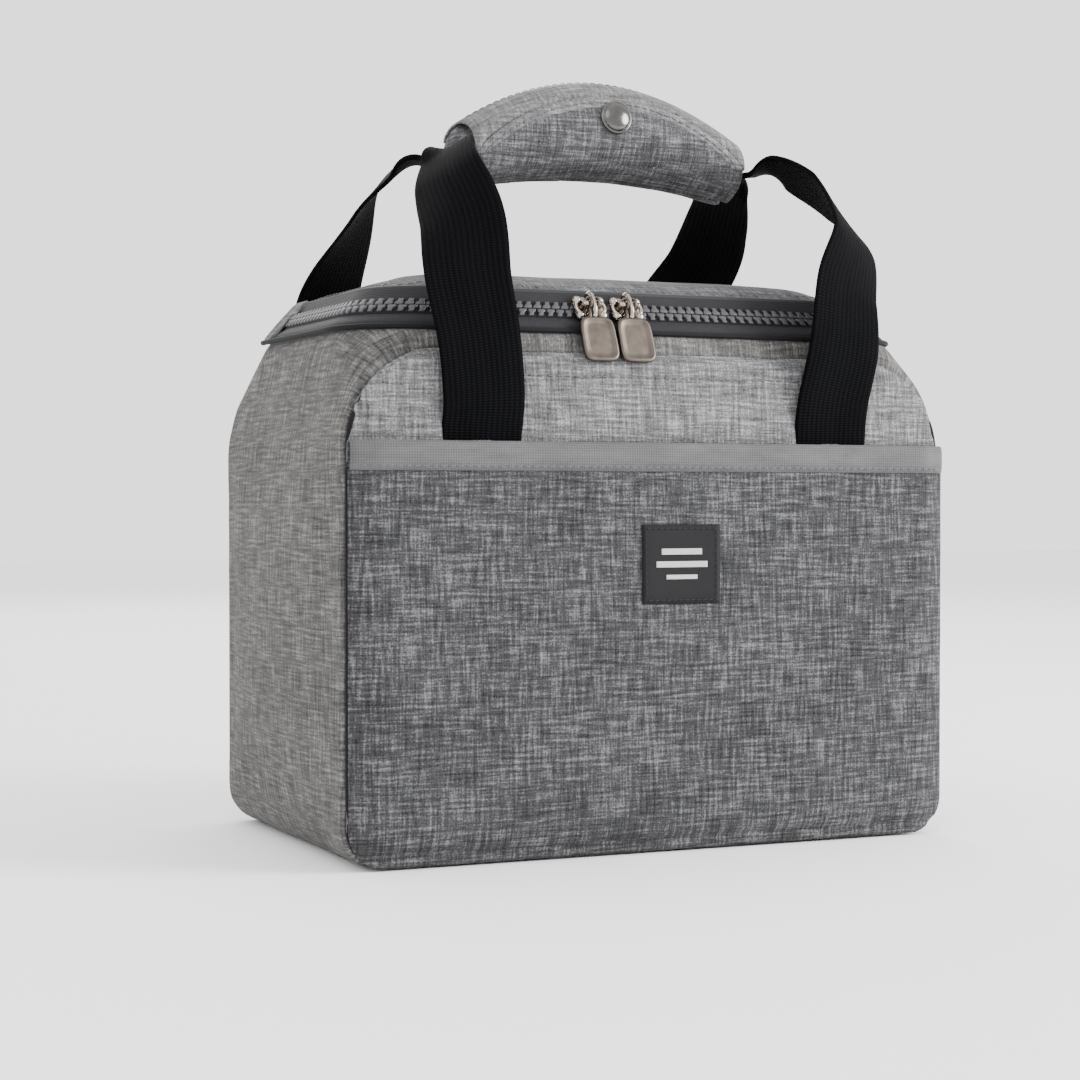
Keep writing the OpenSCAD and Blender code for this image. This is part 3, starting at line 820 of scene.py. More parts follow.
label = patch("label_patch", label_low.x, label_high.x, label_low.z, label_high.z, 0.75 * mm,
              0.5 * mm, 0.35 * mm)
lay_weave(label)
dress(label, label_cloth, "bag", "label_weave", "woven_label")
label_mid = (label_low.x + label_high.x) / 2
label_w = label_high.x - label_low.x
label_h = label_high.z - label_low.z
for bar, (up, wide, tall) in enumerate(((0.66, 0.52, 0.075), (0.50, 0.66, 0.075), (0.34, 0.40, 0.055))):
    low = label_low.z + label_h * (up - tall / 2)
    mark = patch(f"label_bar_{bar + 1}", label_mid - label_w * wide / 2, label_mid + label_w * wide / 2,
                 low, low + label_h * tall, 0.95 * mm, 0.2 * mm)
    lay_weave(mark)
    dress(mark, label_pale, "bag", "label_weave")
hem = 1.4 * mm
label_x = (label_low.x + hem, label_high.x - hem)
label_z = (label_low.z + hem, label_high.z - hem)
label_line = [(label_x[i], label_z[j]) for i, j in ((0, 0), (1, 0), (1, 1), (0, 1), (0, 0))]
label_path = []
for (ax, az), (bx, bz) in zip(label_line, label_line[1:]):
    label_path += [on_pocket(ax + (bx - ax) * k / 10, az + (bz - az) * k / 10, 0.95 * mm)
                   for k in range(10)]
stitches("label_stitches", label_path + label_path[:1], 1.7 * mm, 0.7 * mm, 0.17 * mm, dark_thread,
         "bag", slot="label_weave")

panel_line = [Vector(((half_w - 38 * mm) * (k / 30 - 1), front_y - 0.75 * mm, panel_top - 6.2 * mm))
              for k in range(61)]
stitches("panel_topstitch", panel_line, 2.6 * mm, 0.9 * mm, 0.25 * mm, grey_thread, "bag")


# ---- Zip ----
# Moulded teeth on two woven tapes, one sewn round the shell's rim and one round the lid,
# along both sides and the front. Tabs of webbing close the ends towards the back.

lid_z = corners_of("lid_tape")[1].z
lid_half_w = 98 * mm
lid_half_d = 55 * mm
lid_radius = 27 * mm
rim_w = 110 * mm
rim_d = 63 * mm
zip_end_y = 41 * mm


def around(w, d, r, y_end, back=False):
    """Open path round the front or back of a rounded rectangle, from one side to the other."""
    turn = -1 if back else 1
    side_steps, corner_steps, front_steps = 24, 16, 80
    quarter = [math.pi / 2 * k / corner_steps for k in range(corner_steps)]
    line = [(-w, turn * (y_end * (1 - k / side_steps) + (-d + r) * k / side_steps))
            for k in range(side_steps)]
    line += [(-w + r - r * math.cos(a), turn * (-d + r - r * math.sin(a))) for a in quarter]
    line += [(-w + r + (2 * w - 2 * r) * k / front_steps, turn * -d) for k in range(front_steps)]
    line += [(w - r + r * math.sin(a), turn * (-d + r - r * math.cos(a))) for a in quarter]
    line += [(w, turn * (y_end * k / side_steps + (-d + r) * (1 - k / side_steps)))
             for k in range(side_steps + 1)]
    return line


front_rim = around(rim_w, rim_d, rim_radius, zip_end_y)
front_lid = around(lid_half_w, lid_half_d, lid_radius, zip_end_y)


def on_band(lines, k, v):
    """A place on the band between two outlines: k steps along, v from its rim to its lid edge."""
    k = min(max(k, 0), len(lines[0]) - 1.001)
    i = int(k)
    low, high = (Vector(line[i]).lerp(Vector(line[i + 1]), k - i) for line in lines)
    p = low.lerp(high, v)
    onward = Vector(lines[0][i + 1]) - Vector(lines[0][i])
    return Vector((p.x, p.y, rim_z + (lid_z - rim_z) * v)), low, high, onward


def band_point(k, v, out=0.0):
    """A point on the leaning zip band, out from its face, with its face and its rise."""
    p, low, high, onward = on_band((front_rim, front_lid), k, v)
    away = Vector((onward.y, -onward.x, 0)).normalized()
    rise = Vector((high.x - low.x, high.y - low.y, lid_z - rim_z)).normalized()
    face = (away - rise * away.dot(rise)).normalized()
    return p + face * out, face, rise


def band_strip(name, stops, thickness):
    last = len(front_rim) - 1.01
    rows = [[band_point(last * i / 170, v, out * mm)[0] for v, out in stops] for i in range(171)]
    return strip(name, rows, thickness, -1)


tape_cloth = tape_material("zip_tape_weave", (0.013, 0.013, 0.0145), 1.6)
lower_stops = [(-0.05, -0.3), (-0.03, 0.5), (0.0, 1.0), (0.05, 1.25), (0.14, 1.1), (0.24, 0.55),
               (0.34, 0.45), (0.455, 0.4)]
upper_stops = [(0.545, 0.4), (0.68, 0.45), (0.78, 0.5), (0.88, 0.75), (0.97, 1.0), (1.03, 0.8)]
dress(band_strip("lower_zip_tape", lower_stops, 0.8 * mm), tape_cloth, "bag", "zip_tape", "body_tape")
dress(band_strip("upper_zip_tape", upper_stops, 0.8 * mm), tape_cloth, "lid", "zip_tape", "lid_tape")

# A black tube just below the lower tape's edge: a painted shadow line where the tape's lip stands over the
# rim.
shadow_line = [band_point(k, -0.085, 1.1 * mm)[0] for k in range(len(front_rim) - 1)]
dress(tube("tape_painted_shadow", shadow_line, 0.95 * mm), painted_shade_thread, "bag", "zip_tape")

# Dark beds under the teeth stand for the tape beneath them. They are painted darker, in the shade black, to
# show the shade in the gaps between teeth.
for bed_name, bed_body, low_v, high_v in (("lower_chain_bed", "bag", 0.27, 0.485),
                                          ("upper_chain_bed", "lid", 0.515, 0.73)):
    bed = band_strip(bed_name, [(low_v, 0.35), (low_v + 0.02, 0.72), (high_v - 0.02, 0.72),
                                (high_v, 0.35)], 0.3 * mm)
    dress(bed, painted_shade_thread, bed_body, "zip_tape")

chain_runs = [0.0]
for k in range(len(front_rim) - 2):
    chain_runs.append(chain_runs[-1] + (band_point(k + 1, 0.5)[0] - band_point(k, 0.5)[0]).length)


def chain_step(s):
    """How many steps along the path a length of chain reaches."""
    k = 0
    while k < len(chain_runs) - 2 and chain_runs[k + 1] < s:
        k += 1
    return k + (s - chain_runs[k]) / (chain_runs[k + 1] - chain_runs[k])


tooth_pitch = 3.6 * mm


def teeth(name, down):
    """One row of moulded teeth: a broad head on the chain line, and a narrower stem on the tape."""
    verts, faces = [], []
    shape = [(-0.5, 0.12), (0.5, 0.12), (0.5, 1.25), (0.29, 1.75), (0.29, 3.2), (-0.29, 3.2), (-0.29, 1.75),
             (-0.5, 1.25)]
    s = tooth_pitch * (0.7 if down else 1.2)
    while s < chain_runs[-1] - 1.5 * mm:
        p, face, rise = band_point(chain_step(s), 0.5)
        q, _, _ = band_point(chain_step(s + 0.5 * mm), 0.5)
        along = (q - p).normalized()
        slope = -rise if down else rise
        base = len(verts)
        for depth, shrink in ((0.2, 1.0), (1.15, 1.0), (1.5, 0.8)):
            for a, b in shape:
                verts.append(p + along * a * 3.25 * mm * shrink + slope * (1.6 + (b - 1.6) * shrink) * mm
                             + face * depth * mm)
        faces += skin_faces(3, len(shape), base)
        s += tooth_pitch
    piece = made_piece(name, verts, faces)
    soften = piece.modifiers.new("bevel", "BEVEL")
    soften.width = 0.16 * mm
    soften.segments = 2
    return applied(piece)


def moulded(name, color, roughness=0.42):
    material, tree, shader = plain_material(name, color, roughness)
    grain = speckle(tree, 700.0, 3.0)
    relief(tree, shader, grain, 0.25, 0.0001)
    uneven_gloss(tree, shader, grain, roughness - 0.08, roughness + 0.12)
    return material


tooth_plastic = moulded("tooth_plastic", (0.034, 0.034, 0.038))
dress(teeth("lower_zip_teeth", True), tooth_plastic, "bag", "zip_teeth", "body_teeth")
dress(teeth("upper_zip_teeth", False), tooth_plastic, "lid", "zip_teeth", "lid_teeth")

for side_name, first, last in (("left", 0.0, 4.2),
                               ("right", len(front_rim) - 6.2, len(front_rim) - 1.01)):
    rows = [[band_point(first + (last - first) * i / 10, v, out * mm)[0]
             for v, out in ((0.04, 1.3), (0.2, 1.75), (0.47, 1.9))] for i in range(11)]
    dress(strip(f"{side_name}_zip_tab", rows, 0.7 * mm, -1), rim_tape, "bag", "zip_tape")
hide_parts("zip_end_tabs")


# ---- Sliders and pull tabs ----
# Cast nickel sliders with a pierced, lobed top and an arched bridge, run on the chain.
# Each bridge holds a stamped pull: an eye, a short neck and a rounded plate with a raised rim.

def metal(name, color, roughness, wear):
    material, tree, shader = plain_material(name, color, roughness)
    cloud = speckle(tree, 260.0, 4.0)
    tones(tree, shader, cloud, (0.3, shade(color, 0.78)), (0.7, shade(color, 1.12)))
    uneven_gloss(tree, shader, cloud, roughness - wear, roughness + wear)
    relief(tree, shader, speckle(tree, 2400.0, 2.0), 0.12, 0.0001)
    shader.inputs["Metallic"].default_value = 1.0
    return material


slider_nickel = metal("slider_nickel", (0.40, 0.345, 0.30), 0.24, 0.08)
pull_nickel = metal("pull_nickel", (0.10, 0.083, 0.07), 0.42, 0.08)


def joined(name, parts):
    """Joins several pieces into one mesh."""
    verts, faces = [], []
    for part in parts:
        base = len(verts)
        verts += [part.matrix_world @ v.co for v in part.data.vertices]
        faces += [tuple(base + i for i in f.vertices) for f in part.data.polygons]
        drop(part)
    return made_piece(name, verts, faces)


def placed(piece, origin, x_axis, y_axis):
    """Sets a piece made round the origin down on two axes; its own Z comes out square to them."""
    z_axis = x_axis.cross(y_axis)
    turn = Matrix((x_axis, y_axis, z_axis)).transposed().to_4x4()
    piece.data.transform(Matrix.Translation(origin) @ turn)
    return piece


def dome(centre, rx, ry, rz, rings=6, sides=12):
    """A low boss with a round foot."""
    verts = [centre + Vector((0, 0, rz))]
    for i in range(1, rings + 1):
        a = math.pi / 2 * i / rings
        for b in turn_steps(sides):
            verts.append(centre + Vector((rx * math.sin(a) * math.cos(b),
                                          ry * math.sin(a) * math.sin(b), rz * math.cos(a))))
    faces = [(0, 1 + k, 1 + (k + 1) % sides) for k in range(sides)]
    for i in range(rings - 1):
        for k in range(sides):
            a = 1 + i * sides + k
            b = 1 + i * sides + (k + 1) % sides
            faces.append((a, a + sides, b + sides, b))
    faces.append(tuple(1 + (rings - 1) * sides + k for k in range(sides))[::-1])
    return made_piece("boss", verts, faces)


def through_rings(name, rings):
    """A closed form through a stack of rings of points."""
    return made_piece(name, [p for ring in rings for p in ring], skin_faces(len(rings), len(rings[0])))


slope = Vector((0, 8, 13.5)).normalized()
outward = Vector((0, -13.5, 8)).normalized()
chain = Vector((0, -(rim_d + lid_half_d) / 2, (rim_z + lid_z) / 2))
bar_y = -63.646 * mm
bar_z = 194.003 * mm
bar_up = (Vector((0, bar_y, bar_z)) - chain).dot(outward)
lean = math.radians(22)
down = Vector((0, -math.sin(lean), -math.cos(lean)))
pull_w, pull_l, pull_t, neck = 13.8 * mm, 17 * mm, 1.8 * mm, 5.5 * mm
pull_outline = []
for a in turn_steps(64):
    pull_outline.append([math.copysign(abs(c) ** 0.42, c) for c in (math.cos(a), math.sin(a))])


def pull_level(grow, z):
    """The pull's outline, drawn in by some millimetres, at a height in millimetres."""
    return [Vector((u * (pull_w / 2 - grow * mm) * (1 - 0.05 * (w + 1) / 2),
                    -neck - pull_l / 2 + w * (pull_l / 2 - grow * mm), z * mm))
            for u, w in pull_outline]


for side_name in ("left", "right"):
    slider_low, slider_high = corners_of(f"slider_{side_name}")
    slider_x = (slider_low.x + slider_high.x) / 2
    parts = []
    waist = []
    for a in turn_steps(48):
        lobe = 1 + 0.14 * math.cos(4 * a + math.pi)
        waist.append((6.6 * mm * math.cos(a) * lobe, 5.2 * mm * math.sin(a) * lobe))
    parts.append(through_rings("top", [[Vector((x * f, y * f, z * mm)) for x, y in waist] for f, z in (
        (0.94, 1.3), (1.0, 1.55), (1.0, 2.3), (0.93, 2.75), (0.8, 2.8), (0.7, 2.35))]))
    for bx, by in ((-4.3, 3.1), (4.3, 3.1), (-4.3, -3.1), (4.3, -3.1)):
        parts.append(dome(Vector((bx * mm, by * mm, 2.2 * mm)), 2.0 * mm, 1.75 * mm, 1.75 * mm))
    for ring_x in (-3.3, 3.3):
        ring = [Vector((ring_x * mm + 2.3 * mm * math.cos(a), 2.7 * mm * math.sin(a), 2.9 * mm))
                for a in turn_steps(28)]
        parts.append(tube("ring", ring, 0.75 * mm, closed=True))
    arch = [Vector((0, 4.9 * mm * math.cos(a), 2.2 * mm + (bar_up - 1.6 * mm) * math.sin(a) ** 0.7))
            for a in (math.pi * k / 20 for k in range(21))]
    parts.append(tube("bridge", arch, 0.95 * mm, flat=1.5))
    pin = [Vector((x * mm, 0, bar_up)) for x in (-3.4, -1.5, 0, 1.5, 3.4)]
    parts.append(tube("pin", pin, 0.85 * mm, sides=12))
    for post_x in (-3.3, 3.3):
        post = [Vector((post_x * mm, 0, z * mm))
                for z in (2.4, 3.2, bar_up / mm - 0.2, bar_up / mm + 0.7)]
        parts.append(tube("post", post, 0.8 * mm))
    body = placed(joined(f"{side_name}_slider_body", parts), chain + Vector((slider_x, 0, 0)),
                  Vector((1, 0, 0)), slope)
    dress(body, slider_nickel, f"{side_name}_slider", "slider_metal", f"slider_{side_name}")

    parts = []
    eye = [Vector((0, 1.85 * mm * math.cos(a), 1.85 * mm * math.sin(a))) for a in turn_steps(24)]
    for eye_x in (-1.45, 1.45):
        parts.append(tube("eye", [p + Vector((eye_x * mm, 0, 0)) for p in eye], 0.6 * mm, closed=True))
    for neck_x in (-1, 1):
        line = [Vector((neck_x * (1.45 + 0.9 * t * t) * mm, (-1.8 - (neck / mm - 1.2) * t) * mm, 0))
                for t in (k / 6 for k in range(7))]
        parts.append(tube("neck", line, 0.72 * mm, flat=0.9))
    half = pull_t / 2 / mm
    levels = [(3, -half + 0.25), (1.5, -half + 0.25), (1.2, -half), (0.35, -half), (0, -half + 0.35),
              (0, half - 0.35), (0.35, half), (1.2, half), (1.55, half - 0.28), (3, half - 0.25)]
    parts.append(through_rings("plate", [pull_level(grow, z) for grow, z in levels]))
    tab = placed(joined(f"{side_name}_pull_tab", parts), Vector((slider_x, bar_y, bar_z)),
                 Vector((1, 0, 0)), -down)
    dress(tab, pull_nickel, f"{side_name}_pull", "pull_metal", f"pull_{side_name}")


# ---- Lid ----
# A crowned panel of the same heather over thin foam, lined with foil and joined to the
# upper zip tape. Behind the zip's ends the cloth runs on down to the back as the hinge.

crown_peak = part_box("lid_panel")[1][2]


def crown_points(inset):
    points = plan(lid_half_w - inset, lid_half_d - inset, lid_radius - inset, lid_z - 9 * mm)
    points += plan(lid_half_w - inset, lid_half_d - inset, lid_radius - inset, lid_z)
    points += plan(0.82 * lid_half_w, 0.74 * lid_half_d, lid_radius - 10 * mm, lid_z + 6.75 * mm - inset)
    points += plan(0.55 * lid_half_w, 0.4 * lid_half_d, lid_radius - 18 * mm, crown_peak - inset)
    return points


def crown_seam_distance(co):
    return max(0.0, co.z - lid_z)


crown_form = hull_mesh("crown_form", crown_points(0.6 * mm))
crown = voxels(copy_of(crown_form, "lid_crown"), 2.6 * mm)
swell(crown, swelling(crown_form, 5.0 * mm, crown_seam_distance, 2.5, 2.5 * mm))
drop(crown_form)
rumple(crown, 0.9 * mm, 34 * mm, 11)
rumple(crown, 0.3 * mm, 11 * mm, 12)
lid_inner = copy_of(crown, "lid_foil")
cut_away(crown, (0, 0, lid_z - 0.7 * mm), (0, 0, -1))
thicken(crown, fabric_t)
lay_weave(crown)
lid_cloth = heather("lid_heather", (0.032, 0.032, 0.0335), (0.088, 0.088, 0.091),
                    (0.23, 0.23, 0.235), 61)
dress(crown, lid_cloth, "lid", "heather_fabric", "lid_panel")

lid_padding = cut_away(copy_of(lid_inner, "lid_padding"), (0, 0, lid_z + 0.5 * mm), (0, 0, -1))
drawn_in = Matrix.Diagonal((0.975, 0.96, 1, 1))
lid_padding.data.transform(Matrix.Translation((0, 0, -2.6 * mm)) @ drawn_in)
thicken(lid_padding, 1.4 * mm)
dress(lid_padding, white_foam, "lid", "insulation", "lid_foam")

lid_inner.data.transform(Matrix.Diagonal((0.972, 0.955, 1, 1)))
cut_away(lid_inner, (0, 0, lid_z - 1 * mm), (0, 0, -1))
for v in lid_inner.data.vertices:
    v.co.z = v.co.z - 4.8 * mm if v.co.z > lid_z + 1.5 * mm else lid_z - 3.0 * mm
rumple(lid_inner, -0.4 * mm, 8 * mm, 13)
thicken(lid_inner, 0.5 * mm)
dress(lid_inner, foil_film, "lid", "foil", "lid_liner")

back_rim = around(rim_w, rim_d, rim_radius, -zip_end_y, back=True)
back_lid = around(lid_half_w, lid_half_d, lid_radius, -zip_end_y, back=True)
back_lines = (back_rim[::-1], back_lid[::-1])


def back_band(k, v, out):
    """The same leaning band behind the zip's ends, straight or turning through the back corners."""
    p, low, _, onward = on_band(back_lines, k, v)
    onward.normalize()
    away = Vector((onward.y, -onward.x, 0))
    if away.dot(Vector((low.x, low.y, 0))) < 0:
        away = -away
    return p + away * out


hinge_stops = ((-0.02, 0.2), (0.06, 0.7), (0.2, 1.0), (0.4, 1.1), (0.6, 1.1), (0.8, 1.0),
               (0.95, 0.8), (1.06, 0.3))
skirt_rows = []
for i in range(141):
    k = (len(back_rim) - 1.01) * i / 140
    fold = 0.5 * mm * noise.noise(Vector((i / 6, 2.2, 5.1)))
    skirt_rows.append([back_band(k, v, out * mm + (fold if 0.1 < v < 0.9 else 0))
                       for v, out in hinge_stops])
skirt = strip("lid_hinge_cloth", skirt_rows, fabric_t, -1)
lay_weave(skirt)
dress(skirt, lid_cloth, "lid", "heather_fabric")

lid_seam = [band_point(k, 1.0, 0.1 * mm)[0] for k in range(len(front_rim) - 1)]
dress(tube("lid_seam_welt", lid_seam, 1.1 * mm), rim_tape, "lid", "zip_tape")

lid_section = [(1.5, 0.4), (0.2, -0.6), (0.6, -2.2), (1.8, -3.6), (4.2, -4.2), (7.4, -4.3), (8.8, -3.6)]
lid_edge = plan(lid_half_w, lid_half_d, lid_radius, 0)
lid_binding = bound_edge("lid_binding", lid_edge, lid_z, lid_section, 1)
dress(lid_binding, rim_tape, "lid", "binding_tape")

crown_tree = spots_tree([v.co for v in crown.data.vertices])
lid_stitch = []
for x, y in around(lid_half_w - 4.2 * mm, lid_half_d - 4.2 * mm, lid_radius - 4 * mm, zip_end_y):
    near = crown_tree.find_n(Vector((x, y, lid_z + 1.9 * mm)), 4)
    lid_stitch.append(Vector((x, y, max(co.z for co, _, _ in near) + 0.25 * mm)))
stitches("lid_topstitch", lid_stitch, 2.6 * mm, 0.9 * mm, 0.25 * mm, grey_thread, "lid",
         lift=lambda p: Vector((0, 0, 1)))


# ---- Webbing handles ----
# One length of black webbing each: up from behind the pocket, twisting as it rises, folded
# edge to edge through the grip and down the other side. It bends where it leaves the pocket.
# These sizes are in millimetres; the points become metres when the webbing is made.

web_w, web_t = 30, 1.6
folded_w, folded_t, folded_y = 8, 2.8, 6.3
leg_x = 69
web_y = 71.3
fold_y = 77
panel_h = 174
grip_x = 7
grip_half = 56
grip_zc = 264.5
grip_depth, grip_rise = 19.5, 18.5


def section_b(u):
    """Half the grip's height at u, from -1 at its left end to 1 at its right end."""
    return grip_rise - 6 * u * u


def section_a(u):
    """Half the grip's depth at u."""
    return grip_depth - 1.5 * u * u


def section_z(u):
    """The height of the grip's middle line, which drops towards both ends."""
    return grip_zc - 12 * u * u


def webbing_z(u):
    return section_z(u) - 0.3 * section_b(u)


def leg_points(side):
    """One leg, from its sewn end to the grip: place, twist in degrees, width and thickness."""
    g = grip_x + side * grip_half
    end_z = webbing_z(1)
    rise = end_z - panel_h
    return [(side * leg_x, web_y, 102, 0, web_w, web_t),
            (side * leg_x, web_y, 124, 0, web_w, web_t),
            (side * leg_x, web_y + 0.4, 146, 0, web_w, web_t),
            (side * leg_x, fold_y - 3, 160, 0, web_w, web_t),
            (side * (leg_x + 3), fold_y - 0.2, 180, 2, web_w, web_t),
            (side * (leg_x + 6), fold_y - 3, panel_h + rise * 0.36, 14, web_w, web_t),
            (g + side * 23, fold_y - 16, panel_h + rise * 0.64, 40, web_w, web_t),
            (g + side * 21, fold_y - 36, panel_h + rise * 0.88, 72, 28, web_t),
            (g + side * 13, fold_y - 55, panel_h + rise * 1.03, 88, 22, web_t + 0.4),
            (g + side * 6, 11, end_z + 2.5, 90, 14, web_t + 0.8),
            (g, folded_y, end_z, 90, folded_w, folded_t)]


def bend(a, b, c, d, t):
    """A point between b and c on the smooth curve through four points."""
    return tuple(0.5 * (2 * q + (r - p) * t + (2 * p - 5 * q + 4 * r - s) * t * t
                        + (3 * q - p - 3 * r + s) * t ** 3) for p, q, r, s in zip(a, b, c, d))


def smooth_line(points, steps=14):
    line = []
    for i in range(len(points) - 1):
        near = (points[max(i - 1, 0)], points[i], points[i + 1], points[min(i + 2, len(points) - 1)])
        line += [bend(*near, k / steps) for k in range(steps)]
    return line + [points[-1]]


def loop():
    """The whole length of webbing: up the left leg, through the grip, and down the right leg."""
    left = smooth_line(leg_points(-1))
    right = [(x, y, z, 180 - twist, w, t)
             for x, y, z, twist, w, t in reversed(smooth_line(leg_points(1)))]
    inner = [(grip_x + u * grip_half, folded_y, webbing_z(u), 90, folded_w, folded_t)
             for u in (2 * i / 30 - 1 for i in range(1, 30))]
    return left + inner + right


black_webbing, web_tree, web_shader = plain_material("black_webbing", (0.004, 0.004, 0.005), 0.75)
web_place = cloth_place(web_tree)
web_weave = woven(web_tree, web_place, 0.16, 0.34, 0.3)
web_tone = blend_of(web_tree, web_weave, streaks(web_tree, web_place, 0.12, 0.03, 6), 0.4)
tones(web_tree, web_shader, web_tone, (0.15, (0.0008, 0.0008, 0.0011)), (0.8, (0.005, 0.005, 0.0065)))
relief(web_tree, web_shader, web_weave, 0.8, 0.0004)
cloth_gloss(web_shader, 0.03)
# The webbing's cross-section, as shares of its width and thickness: two rounded selvedges.
profile = [(-0.5, 0), (-0.485, 0.34), (-0.44, 0.5), (-0.3, 0.42), (-0.1, 0.38), (0.1, 0.38), (0.3, 0.42),
           (0.44, 0.5), (0.485, 0.34), (0.5, 0), (0.485, -0.34), (0.44, -0.5), (0.3, -0.42), (0.1, -0.38),
           (-0.1, -0.38), (-0.3, -0.42), (-0.44, -0.5), (-0.485, -0.34)]


def webbing(name, turn_y, strap_node, tails_node):
    points = loop()
    verts, uvs = [], []
    place = [Vector((x, -y, z)) for x, y, z, _, _, _ in points]
    run = 0.0
    for i, (_, _, _, twist, width, depth) in enumerate(points):
        t = (place[min(i + 1, len(place) - 1)] - place[max(i - 1, 0)]).normalized()
        raw = Vector((math.cos(math.radians(twist)), -math.sin(math.radians(twist)), 0))
        w = (raw - t * raw.dot(t)).normalized()
        normal = t.cross(w)
        cup = 0.5 * noise.noise(Vector((i / 9, turn_y * 3, 1.7)))
        for a, b in profile:
            p = place[i] + w * a * width + normal * (b * depth + cup * (0.25 - a * a) * 2)
            verts.append(Vector((p.x, -turn_y * p.y, p.z)) * mm)
            uvs.append((a * width + (60 if b < 0 else 0), run))
        if i + 1 < len(place):
            run += (place[i + 1] - place[i]).length
    piece = made_piece(name, verts, skin_faces(len(points), len(profile)))
    layer = piece.data.uv_layers.new(name="weave")
    for item in piece.data.loops:
        layer.data[item.index].uv = uvs[item.vertex_index]
    dress(piece, black_webbing, None, "webbing", strap_node, tails_node)
    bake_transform(piece)
    return piece


webbing("front_webbing", -1, "front_strap", "front_strap_tails")
webbing("back_webbing", 1, "back_strap", "back_strap_tails")

tail_thread = thread("tail_stitch", (0.035, 0.035, 0.038))
box_corners = ((-11.5, 104), (11.5, 104), (11.5, 132), (-11.5, 132), (-11.5, 104), (11.5, 132),
               (-11.5, 132), (11.5, 104))
for side_name, middle_x in (("left", -leg_x), ("right", leg_x)):
    box_line = []
    for (ax, az), (bx, bz) in zip(box_corners, box_corners[1:]):
        box_line += [Vector((middle_x + ax + (bx - ax) * k / 12, web_y + 0.95,
                             az + (bz - az) * k / 12)) * mm for k in range(12)]
    stitches(f"{side_name}_tail_stitches", box_line, 2.2 * mm, 0.8 * mm, 0.3 * mm, tail_thread, "bag",
             lift=lambda p: Vector((0, 1, 0)), slot="webbing")


# ---- Padded grip ----
# Each handle's webbing is wrapped in padded heather. The back half also forms the ridge;
# the front half is slimmer, and carries a hemmed flap that closes over it with a snap.

def section_point(u, angle, inset):
    """A point on the grip's outside: u along it, at an angle round it, some millimetres inside."""
    a = math.radians(angle)
    return Vector(((grip_x + u * grip_half) * mm, (section_a(u) - inset) * math.cos(a) * mm,
                   (section_z(u) + (section_b(u) - inset) * math.sin(a)) * mm))


def arc(u, start, stop, inset, steps=16):
    return [section_point(u, start + (stop - start) * k / steps, inset) for k in range(steps + 1)]


def grip_seam_distance(co):
    """How far a point is from the grip's two ends and from the split between its halves."""
    x = abs(co.x / mm - grip_x)
    return max(0.0, min((grip_half - x) * mm, abs(co.y)))


def split_point(u, y, lower):
    """A point near the split between the grip's halves, some millimetres below its middle."""
    return Vector(((grip_x + u * grip_half) * mm, y * mm, (section_z(u) - lower) * mm))


grip_cloth = heather("grip_heather", (0.019, 0.019, 0.0205), (0.062, 0.062, 0.065),
                     (0.205, 0.205, 0.21), 81)
stations = [math.sin(math.pi / 2 * v) * 0.2 + v * 0.8 for v in (2 * i / 40 - 1 for i in range(41))]
back_rings = [arc(u, -88, 84, 0.7) + arc(u, 98, 182, 5.2) + [split_point(u, 0.5, 2)]
              for u in stations]
front_rings = [arc(u, 188, 266, 4.0) + [split_point(u, -0.5, 3)] for u in stations]
for name, rings, body, node_name, seed in (
        ("back_grip_padding", back_rings, "back_handle", "back_grip_pad", 31),
        ("front_grip_padding", front_rings, "front_handle", "front_grip_pad", 37)):
    form = through_rings(name + "_form", rings)
    pad = voxels(copy_of(form, name), 1.7 * mm)
    swell(pad, swelling(form, 4.0 * mm, grip_seam_distance, 4.0, 1.2 * mm))
    drop(form)
    rumple(pad, 0.45 * mm, 15 * mm, seed)
    rumple(pad, 0.25 * mm, 6 * mm, seed + 1)
    lay_weave(pad)
    dress(pad, grip_cloth, body, "heather_fabric", node_name)

# The angle round the grip where the flap's foot is sewn to the front padding.
flap_foot = 250


def flap_top(u):
    """The angle round the grip of the flap's curved edge: highest at the middle."""
    return 196 - 52 * math.sqrt(max(0.0, 1 - abs(u) ** 2.4))


flap_rows = []
for u in stations:
    top = flap_top(u * 0.985)
    row = []
    for k in range(25):
        t = k / 24
        puff = 0.6 * math.sin(math.pi * t) + 0.5 * noise.noise(Vector((u * 3.1, t * 2.2, 9.3)))
        row.append(section_point(u * 0.985, top + (flap_foot - top) * t, 0.55 - puff * 0.8))
    flap_rows.append(row)
flap = strip("snap_flap_cloth", flap_rows, 2.0 * mm, 0)
lay_weave(flap)
dress(flap, grip_cloth, None, "heather_fabric", "grip_flap")


def fold_open(piece):
    """Bakes the piece's placement into its mesh; nothing is folded."""
    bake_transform(piece)


fold_open(flap)

hem_cloth = heather("hem_heather", (0.05, 0.05, 0.052), (0.12, 0.12, 0.123), (0.26, 0.26, 0.265), 91)
hem_section = ((-0.2, -0.9), (-0.6, 0.1), (-0.2, 0.8), (1.0, 1.15), (2.6, 1.15), (4.4, 1.05), (5.2, 0.5))
mean_radius = 19
hem_rows = []
for i in range(121):
    u = (i / 60 - 1) * 0.985
    steepness = (flap_top(min(u + 0.01, 1)) - flap_top(max(u - 0.01, -1))) / 0.02
    hem_lean = math.atan2(steepness * mean_radius * math.pi / 180, grip_half)
    row = []
    for reach, proud in hem_section:
        along = max(min(u - reach * math.sin(hem_lean) / grip_half, 1), -1)
        lower = reach * math.cos(hem_lean) / mean_radius * 180 / math.pi
        row.append(section_point(along, flap_top(u) + lower, 0.2 - proud * 0.75))
    hem_rows.append(row)
hem_band = strip("flap_hem", hem_rows, 0.5 * mm, 0)
lay_weave(hem_band)
dress(hem_band, hem_cloth, None, "heather_fabric")
fold_open(hem_band)


def off_grip(p):
    """The direction straight off the grip's skin at a point."""
    return Vector((0, p.y / grip_depth, (p.z - grip_zc * mm) / grip_rise)).normalized()


